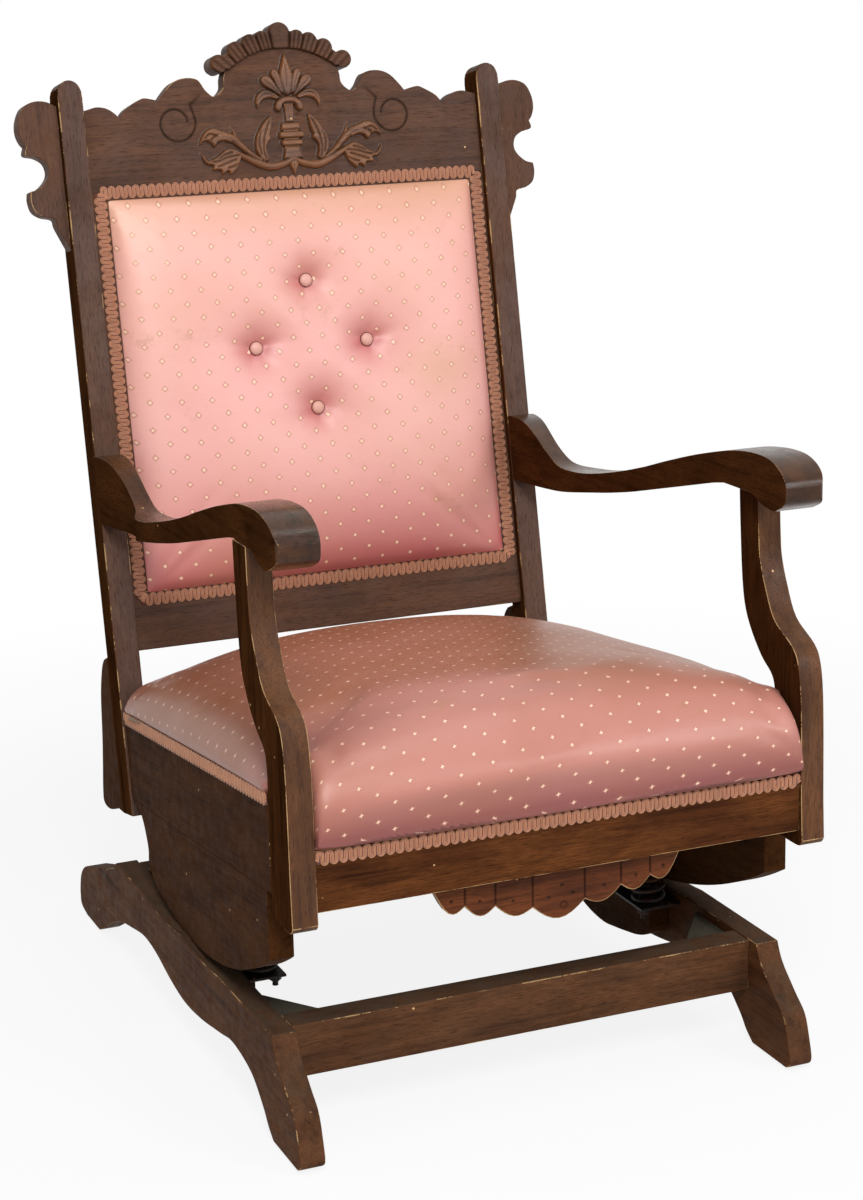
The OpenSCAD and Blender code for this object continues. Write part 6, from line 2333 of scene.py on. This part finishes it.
        (right, right_at), (left, left_at) = wall(-1, 1.0), wall(0, -1.0)
        rings = np.concatenate([floor, right, top[:, ::-1], left[:, ::-1]], axis=1)
        at = np.concatenate([floor[..., 0], right_at, top[:, ::-1, 0], left_at[:, ::-1]], axis=1)
        n = rings.shape[1]
        obj = new_piece("seat_cover", rings.reshape(-1, 3), skin_faces(self.stations, n))
        lay_cloth(obj, (at + 4.0).ravel(), (4.0 - length[:, None] - self.skew * at).ravel())
        p = mesh_points(obj)
        held = self.tacked_down(p, n)
        p = soften(p, edge_pairs(obj), 7, 0.5, 0.92 * held)
        p[:, 2] += np.where(held > 0, 0, 0.0007 * np.sin(p[:, 0] * 31 + 1.0) * np.sin(p[:, 1] * 27 + 0.4))
        set_points(obj, p)
        stuffed(obj, held, 2.0, 0.005, 16)
        refined(obj)
        p = mesh_points(obj)
        set_points(obj, soften(p, edge_pairs(obj), 1, 0.4))
        self.shade(obj)
        fit_out(obj, palette.seat_satin, Body.CHAIR, "seat_cushion")
        return obj

    def tacked_down(self, p: np.ndarray, around: int) -> np.ndarray:
        """Say where the cover is held: below, low on its walls, at the rear, at the roll's foot and posts.

        Args:
            p: The cover's points.
            around: Points in each of its rings.

        Returns:
            A weight per point, 1 where it is held fast.
        """
        step, place = np.divmod(np.arange(len(p)), around)
        low = (place < self.columns + 2) | (place >= around - 2) | (step <= 1)
        held = np.maximum(low.astype(float), np.clip((step - (self.stations - 6)) / 3, 0, 1))
        held[(np.abs(p[:, 0]) > 0.247) & (p[:, 1] < -0.327) & (p[:, 1] > -0.337)] = 1.0
        return held

    def shade(self, obj: bpy.types.Object) -> None:
        """Store the painted shade on the cover's cloth and where it is browner."""
        p = mesh_points(obj)
        y, z = p[:, 1], p[:, 2]
        # painted shade under the roll, low on the walls, by the front posts, left of the middle and towards the
        # rear
        low = np.clip((0.378 - z) / 0.040, 0, 1) * np.clip((-0.35 - y) / 0.025, 0, 1)
        edge = np.clip(1 - (z - self.rail_top(y)) / 0.014, 0, 1) * np.clip((y + 0.34) / 0.02, 0, 1)
        corner = np.exp(-((np.abs(p[:, 0]) - 0.262) / 0.02) ** 2) * np.exp(-((y + 0.318) / 0.022) ** 2)
        left = np.exp(-((p[:, 0] + 0.215) / 0.045) ** 2) * np.exp(-((y + 0.31) / 0.05) ** 2)
        rear = np.clip((y - 0.10) / 0.20, 0, 1)
        fold = 0.85 * low + 0.35 * edge + 0.8 * corner + 0.5 * left + 0.30 * rear
        write_number(obj, "fold", np.clip(fold, 0, 1))
        # browner over the top behind the roll, less towards the rear
        behind = np.clip((y + 0.356 + 0.045 * np.sin(p[:, 0] * 9)) / 0.11, 0, 1)
        write_number(obj, "soil", behind * behind * (3 - 2 * behind) * (1 - 0.55 * rear))

    def webbing(self, palette: Palette) -> bpy.types.Object:
        """Weave the jute straps, each passing over and under those that cross it."""
        low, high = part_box("seat_webbing")
        shapes = Shapes()
        coords: list[Point3] = []
        width, margin = 0.050, 0.002
        near, far = low.y + margin, high.y - margin
        rows = np.linspace(near + width / 2, far - width / 2, 4)
        columns = [(k - 1.5) * 0.1 for k in range(4)]
        half = min(high.x, -low.x) - 2 * margin
        for i, y0 in enumerate(rows):
            line = [(x, y0, self.rail_top(y0) + 0.0006 + self.over(x, columns, i))
                    for x in np.linspace(-half, half, 90)]
            self.strap(shapes, coords, line, (0, 1, -math.tan(self.tilt)), width)
        for j, x0 in enumerate(columns):
            line = [(x0, y, self.rail_top(y) - 0.0008 - self.over(y, rows, j))
                    for y in np.linspace(near, far, 90)]
            self.strap(shapes, coords, line, (1, 0, 0), width)
        obj = shapes.piece("woven_webbing")
        write_vector(obj, "cloth", np.array(coords))
        fit_out(obj, palette.jute, Body.CHAIR, "seat_webbing")
        return obj

    @staticmethod
    def over(at: float, crossings: Sequence[float], phase: int) -> float:
        """Give how far a strap rises where it crosses the others."""
        rise = 0.0
        for k, c in enumerate(crossings):
            way = 1.0 if (k + phase) % 2 else -1.0
            rise += way * 0.0011 * math.exp(-((at - c) / 0.026) ** 4)
        return max(rise, 0.0)

    @staticmethod
    def strap(shapes: Shapes, coords: list[Point3], line: list[Point3], across: Point3, width: float) -> None:
        """Add one flat strap with rounded selvedges.

        Args:
            shapes: Where the strap goes.
            coords: The cloth coordinates of its points.
            line: Its middle line.
            across: The way its width runs.
            width: Its width.
        """
        w = Vector(across).normalized()
        section = ((-0.5, 0.0), (-0.485, 0.5), (-0.25, 0.6), (0.25, 0.6), (0.485, 0.5), (0.5, 0.0),
                   (0.485, -0.5), (-0.485, -0.5))
        verts = []
        run = 0.0
        for k, place in enumerate(line):
            if k:
                run += (Vector(place) - Vector(line[k - 1])).length
            for s, h in section:
                verts.append(Vector(place) + w * (s * width) + Vector((0, 0, 1)) * (h * 0.0011))
                coords.append((s * width + 1.0, run + 1.0, 0.0))
        shapes.add(verts, skin_faces(len(line), len(section)))

    def under_cloth(self, palette: Palette) -> bpy.types.Object:
        """Stretch the black cloth under the seat, with tucked edges and a slight sag."""
        low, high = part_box("dust_cover")
        y0, y1 = low.y + 0.001, high.y - 0.001
        y = np.linspace(y0, y1, 60)[:, None]
        half = np.where(y < self.narrow_y, self.narrow_half, self.frame_x(y) - self.lap)
        x = half * np.linspace(-1, 1, 56)
        edge = np.minimum(half - np.abs(x), np.minimum(y - y0, y1 - y))
        hem = 0.00032 * np.exp(-((edge - 0.006) / 0.004) ** 2)
        sag = 0.0005 * np.sin(x * 34) * np.sin(y * 29) * np.clip(edge / 0.06, 0, 1)
        z = self.seam_z - y * math.tan(self.tilt) + 0.0010 - hem + sag
        verts = np.stack([x, y + 0 * x, z], axis=2).reshape(-1, 3)
        obj = new_piece("under_cloth", verts, grid_faces(*x.shape))
        lay_cloth(obj, verts[:, 0] + 2.0, verts[:, 1] + 2.0)
        thickened(obj, 0.0)
        fit_out(obj, palette.cambric, Body.CHAIR, "dust_cover")
        return obj


@dataclass
class ScrollBraid:
    """Scroll gimp: three cords side by side that wind up and down over a tape coloured as painted shadow, tacked
    round the covers.

    Attributes:
        width: The braid's width.
        pitch: Length of one winding.
        cord: Radius of a cord.
        apart: Distance between the cords' middles.
        band: Thickness of the tape.
        reach_out: How far the braid passes the frame's own at the back pad's sides.
        reach: Distance between points of a run's middle line.
    """

    width: float = 0.015
    pitch: float = 0.0094
    cord: float = 0.00050
    apart: float = 0.00136
    band: float = 0.0006
    reach_out: float = 0.0044
    reach: float = 0.002

    def build(self, palette: Palette) -> list[bpy.types.Object]:
        """Lay the braid round the back and along the seat.

        Args:
            palette: The finishes.

        Returns:
            The pieces made.
        """
        made = []
        for name, runs, node in (("back_braid", self.round_the_back(), "back_gimp"),
                                 ("seat_braid", self.along_the_seat(), "seat_gimp")):
            shapes = Shapes()
            hollow: list[float] = []
            for line, across, out in runs:
                self.lay(shapes, hollow, line, across, out)
            obj = shapes.piece(name)
            write_number(obj, "hollow", np.array(hollow))
            fit_out(obj, palette.braid, Body.CHAIR, node)
            made.append(obj)
        return made

    def round_the_back(self) -> list[tuple[np.ndarray, Vector, Vector]]:
        """Give the four runs round the back pad, mitred at the corners."""
        co = BACK.read(mesh_points(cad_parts["back_gimp"]))
        half, t0, t1 = float(co[:, 0].max()), float(co[:, 2].min()), float(co[:, 2].max())
        inset = self.width / 2
        half += self.reach_out
        out = BACK.way(0, 1, 0)
        up = BACK.way(0, 0, 1)
        corners = [(-half + inset, t0 + inset), (half - inset, t0 + inset), (half - inset, t1 - inset),
                   (-half + inset, t1 - inset)]
        runs = []
        for k in range(4):
            (xa, ta), (xb, tb) = corners[k], corners[(k + 1) % 4]
            across = up if ta == tb else Vector((1, 0, 0))
            count = int(math.hypot(xb - xa, tb - ta) / self.reach)
            line = BACK.place_all(np.linspace((xa, 0, ta), (xb, 0, tb), count + 1))
            runs.append((line, across, out))
        return runs

    def along_the_seat(self) -> list[tuple[np.ndarray, Vector, Vector]]:
        """Give the run along the front rail and the two along the side rails."""
        seat = SeatUpholstery()
        co = mesh_points(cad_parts["seat_gimp"])
        front = co[(np.abs(co[:, 0]) < 0.2575) & (co[:, 1] < -0.38)]
        half, y, z = np.abs(front[:, 0]).max(), front[:, 1].max(), front[:, 2].max() - self.width / 2
        line = np.linspace((-half, y, z), (half, y, z), int(2 * half / self.reach) + 1)
        runs = [(line, Vector((0, 0, 1)), Vector((0, -1, 0)))]
        side_y = co[np.abs(co[:, 0]) > 0.26, 1]
        y = np.linspace(side_y.min(), side_y.max(), int(np.ptp(side_y) / self.reach) + 1)
        x, z = seat.frame_x(y) + 0.0004, seat.rail_top(y) - self.width / 2 + 0.0030
        up = Vector((0, math.sin(seat.tilt), math.cos(seat.tilt)))
        for sign in (-1.0, 1.0):
            runs.append((np.stack([sign * x, y, z], axis=1), up, Vector((sign, RAIL_FLARE, 0)).normalized()))
        return runs

    def winding(self, length: float) -> np.ndarray:
        """Give the middle cord's way as a rounded square wave.

        Args:
            length: The run's length.

        Returns:
            Rows of distance along the run and distance across it.
        """
        waves = 2 * max(1, round(length / self.pitch))
        turn = length / waves / 2
        leg = self.width / 2 - self.apart - self.cord - turn
        points = [(0.0, 0.0)]
        for k in range(waves):
            way = 1.0 if k % 2 == 0 else -1.0
            x = (2 * k + 1) * turn
            points += [(x, -way * leg * 0.6), (x, way * leg * 0.6)]
            for a in np.linspace(math.pi, 0.0, 7):
                points.append((x + turn + turn * math.cos(a), way * (leg + turn * math.sin(a))))
        return np.array(points[:-7] + [(length, 0.0)])

    def lay(self, shapes: Shapes, hollow: list[float], line: np.ndarray, across: Vector, out: Vector) -> None:
        """Lay one run: the tape and its three cords.

        Args:
            shapes: Where the run goes.
            hollow: One number per point that paints shadow on the tape behind the cords.
            line: The run's middle line.
            across: The way its width runs.
            out: The way it stands out.
        """
        steps = np.linalg.norm(np.diff(line, axis=0), axis=1)
        length = float(steps.sum())
        run = np.concatenate([[0], np.cumsum(steps)])
        a, o = np.array(list(across)), np.array(list(out))
        w = self.width / 2 - 0.0019
        section = [(-w, 0.0), (-w, self.band), (w, self.band), (w, 0.0)]
        verts = np.concatenate([[p + a * h + o * d for h, d in section] for p in line[::3]])
        shapes.add(list(verts), skin_faces(len(line[::3]), len(section)))
        # the tape stands for the shadow behind and between the cords
        hollow.extend([1.0] * len(verts))
        way = self.winding(length)
        tangent = np.gradient(way, axis=0)
        tangent /= np.maximum(np.linalg.norm(tangent, axis=1), 1e-9)[:, None]
        side = np.stack([-tangent[:, 1], tangent[:, 0]], axis=1)
        for lane, lift in ((-1.0, 0.0), (0.0, 0.00022), (1.0, 0.0)):
            flat = way + side * (lane * self.apart)
            s = np.clip(flat[:, 0], 0, length)
            path = np.stack([np.interp(s, run, line[:, k]) for k in range(3)], axis=1)
            path = path + a * flat[:, 1:2] + o * (self.band + self.cord * 0.8 + lift)
            v, f = tube(path, self.cord, 5, normal=tuple(out))
            shapes.add(list(v), f)
            hollow.extend([0.0] * len(v))


# Stage


@dataclass
class Studio:
    """Pale floor, white surround, soft lamps and the camera at the photograph's place."""

    camera_at: Point3 = (-1.01803, -2.50689, 1.13938)
    azimuth: float = -22.653
    elevation: float = 13.973
    roll: float = -1.283
    focal_px: float = 2589.45
    frame_w: int = 863
    frame_h: int = 1200
    centre_px: Point2 = (433.39, 581.79)

    def build(self) -> None:
        """Set up the camera, the floor, the surround and the lamps."""
        self.camera()
        self.floor()
        self.surround()
        self.lamps()
        settings = bpy.context.scene.view_settings
        settings.view_transform = "Standard"

    def camera(self) -> None:
        """Place the camera as solved from the photograph's straight lines."""
        az, el, roll = (math.radians(v) for v in (self.azimuth, self.elevation, self.roll))
        ahead = Vector((-math.sin(az) * math.cos(el), math.cos(az) * math.cos(el), -math.sin(el)))
        right = ahead.cross(Vector((0, 0, 1))).normalized()
        up = right.cross(ahead)
        right_r = right * math.cos(roll) + up * math.sin(roll)
        up_r = up * math.cos(roll) - right * math.sin(roll)
        data = bpy.data.cameras.new("view_camera")
        data.sensor_width = 36.0
        data.lens = self.focal_px * 36.0 / self.frame_h
        data.shift_x = -(self.centre_px[0] - self.frame_w / 2) / self.frame_h
        data.shift_y = (self.centre_px[1] - self.frame_h / 2) / self.frame_h
        data.clip_end = 60.0
        cam = bpy.data.objects.new("view_camera", data)
        m = Matrix((right_r, up_r, -ahead)).transposed().to_4x4()
        m.translation = Vector(self.camera_at)
        cam.matrix_world = m
        bpy.context.scene.collection.objects.link(cam)
        bpy.context.scene.camera = cam

    def floor(self) -> None:
        """Lay a round pale floor that turns to the surround's white away from the chair."""
        rings, spokes = (0.0, 0.4, 0.8, 1.3, 2.0, 3.2, 6.0, 12.0, 24.0), 64
        verts = [(r * math.cos(2 * math.pi * k / spokes), r * math.sin(2 * math.pi * k / spokes), 0.0)
                 for r in rings[1:] for k in range(spokes)] + [(0.0, 0.0, 0.0)]
        faces = [(i * spokes + k, (i + 1) * spokes + k, (i + 1) * spokes + (k + 1) % spokes,
                  i * spokes + (k + 1) % spokes) for i in range(len(rings) - 2) for k in range(spokes)]
        faces += [(len(verts) - 1, k, (k + 1) % spokes) for k in range(spokes)]
        floor = new_piece("studio_floor", verts, faces)
        made = bpy.data.materials.new("studio_floor")
        made.use_nodes = True
        made.node_tree.nodes.clear()
        bench = Bench(made.node_tree)
        place = bench.put("ShaderNodeNewGeometry").outputs["Position"]
        away = bench.span(bench.put("ShaderNodeVectorMath", {0: place}, operation="LENGTH").outputs["Value"],
                          0.75, 1.9)
        share = bench.times(bench.seen(), bench.maths("MULTIPLY_ADD", away, 0.13, 0.87))
        matt = bench.put("ShaderNodeBsdfDiffuse", {"Color": (0.86, 0.86, 0.86, 1.0)})
        white = bench.put("ShaderNodeEmission", {"Color": (1.0, 1.0, 1.0, 1.0), "Strength": 1.0})
        both = bench.put("ShaderNodeMixShader", {0: share, 1: matt.outputs[0], 2: white.outputs[0]})
        bench.put("ShaderNodeOutputMaterial", {"Surface": both.outputs[0]})
        floor.data.materials.append(made)

    def surround(self) -> None:
        """Make the world white where it is seen and softer where it lights."""
        world = bpy.data.worlds.new("studio_surround")
        bpy.context.scene.world = world
        world.use_nodes = True
        world.node_tree.nodes.clear()
        bench = Bench(world.node_tree)
        fill = bench.put("ShaderNodeBackground", {"Color": (0.94, 0.97, 1.0, 1.0), "Strength": 0.34})
        white = bench.put("ShaderNodeBackground", {"Color": (1.0, 1.0, 1.0, 1.0), "Strength": 1.0})
        both = bench.put("ShaderNodeMixShader", {0: bench.seen(), 1: fill.outputs[0], 2: white.outputs[0]})
        bench.put("ShaderNodeOutputWorld", {"Surface": both.outputs[0]})

    def lamps(self) -> None:
        """Hang a large key at the front left, a fill at the right and a low top light."""
        for name, place, size, watts, tint in (
            ("key_softbox", (-0.85, -2.55, 2.45), 0.9, 68.0, (1.0, 0.985, 0.96)),
            ("fill_softbox", (1.8, -2.7, 1.7), 1.0, 31.0, (0.98, 0.98, 1.0)),
            ("top_softbox", (0.15, -0.8, 2.7), 0.8, 12.0, (1.0, 1.0, 1.0)),
        ):
            data = bpy.data.lights.new(name, "AREA")
            data.shape = "SQUARE"
            data.size = size
            data.energy = watts
            data.color = tint
            lamp = bpy.data.objects.new(name, data)
            lamp.location = place
            aim = Vector((0, -0.05, 0.5)) - Vector(place)
            lamp.rotation_euler = aim.to_track_quat("-Z", "Y").to_euler()
            bpy.context.scene.collection.objects.link(lamp)


def main() -> None:
    """Build the scene: the stage first, then each part of the chair in order."""
    logging.basicConfig(level=logging.INFO, format="%(message)s")
    Studio().build()
    palette = Palette()
    for part in (BaseFrame(), RockingGear(), SeatFrame(), ArmsAndPosts(), CrestAndBack(), CrestCarving(),
                 BackPad(), SeatUpholstery(), ScrollBraid()):
        for piece in part.build(palette):
            log.info("%s: %s, %d faces", type(part).__name__, piece.name, len(piece.data.polygons))


if __name__ == "__main__":
    main()
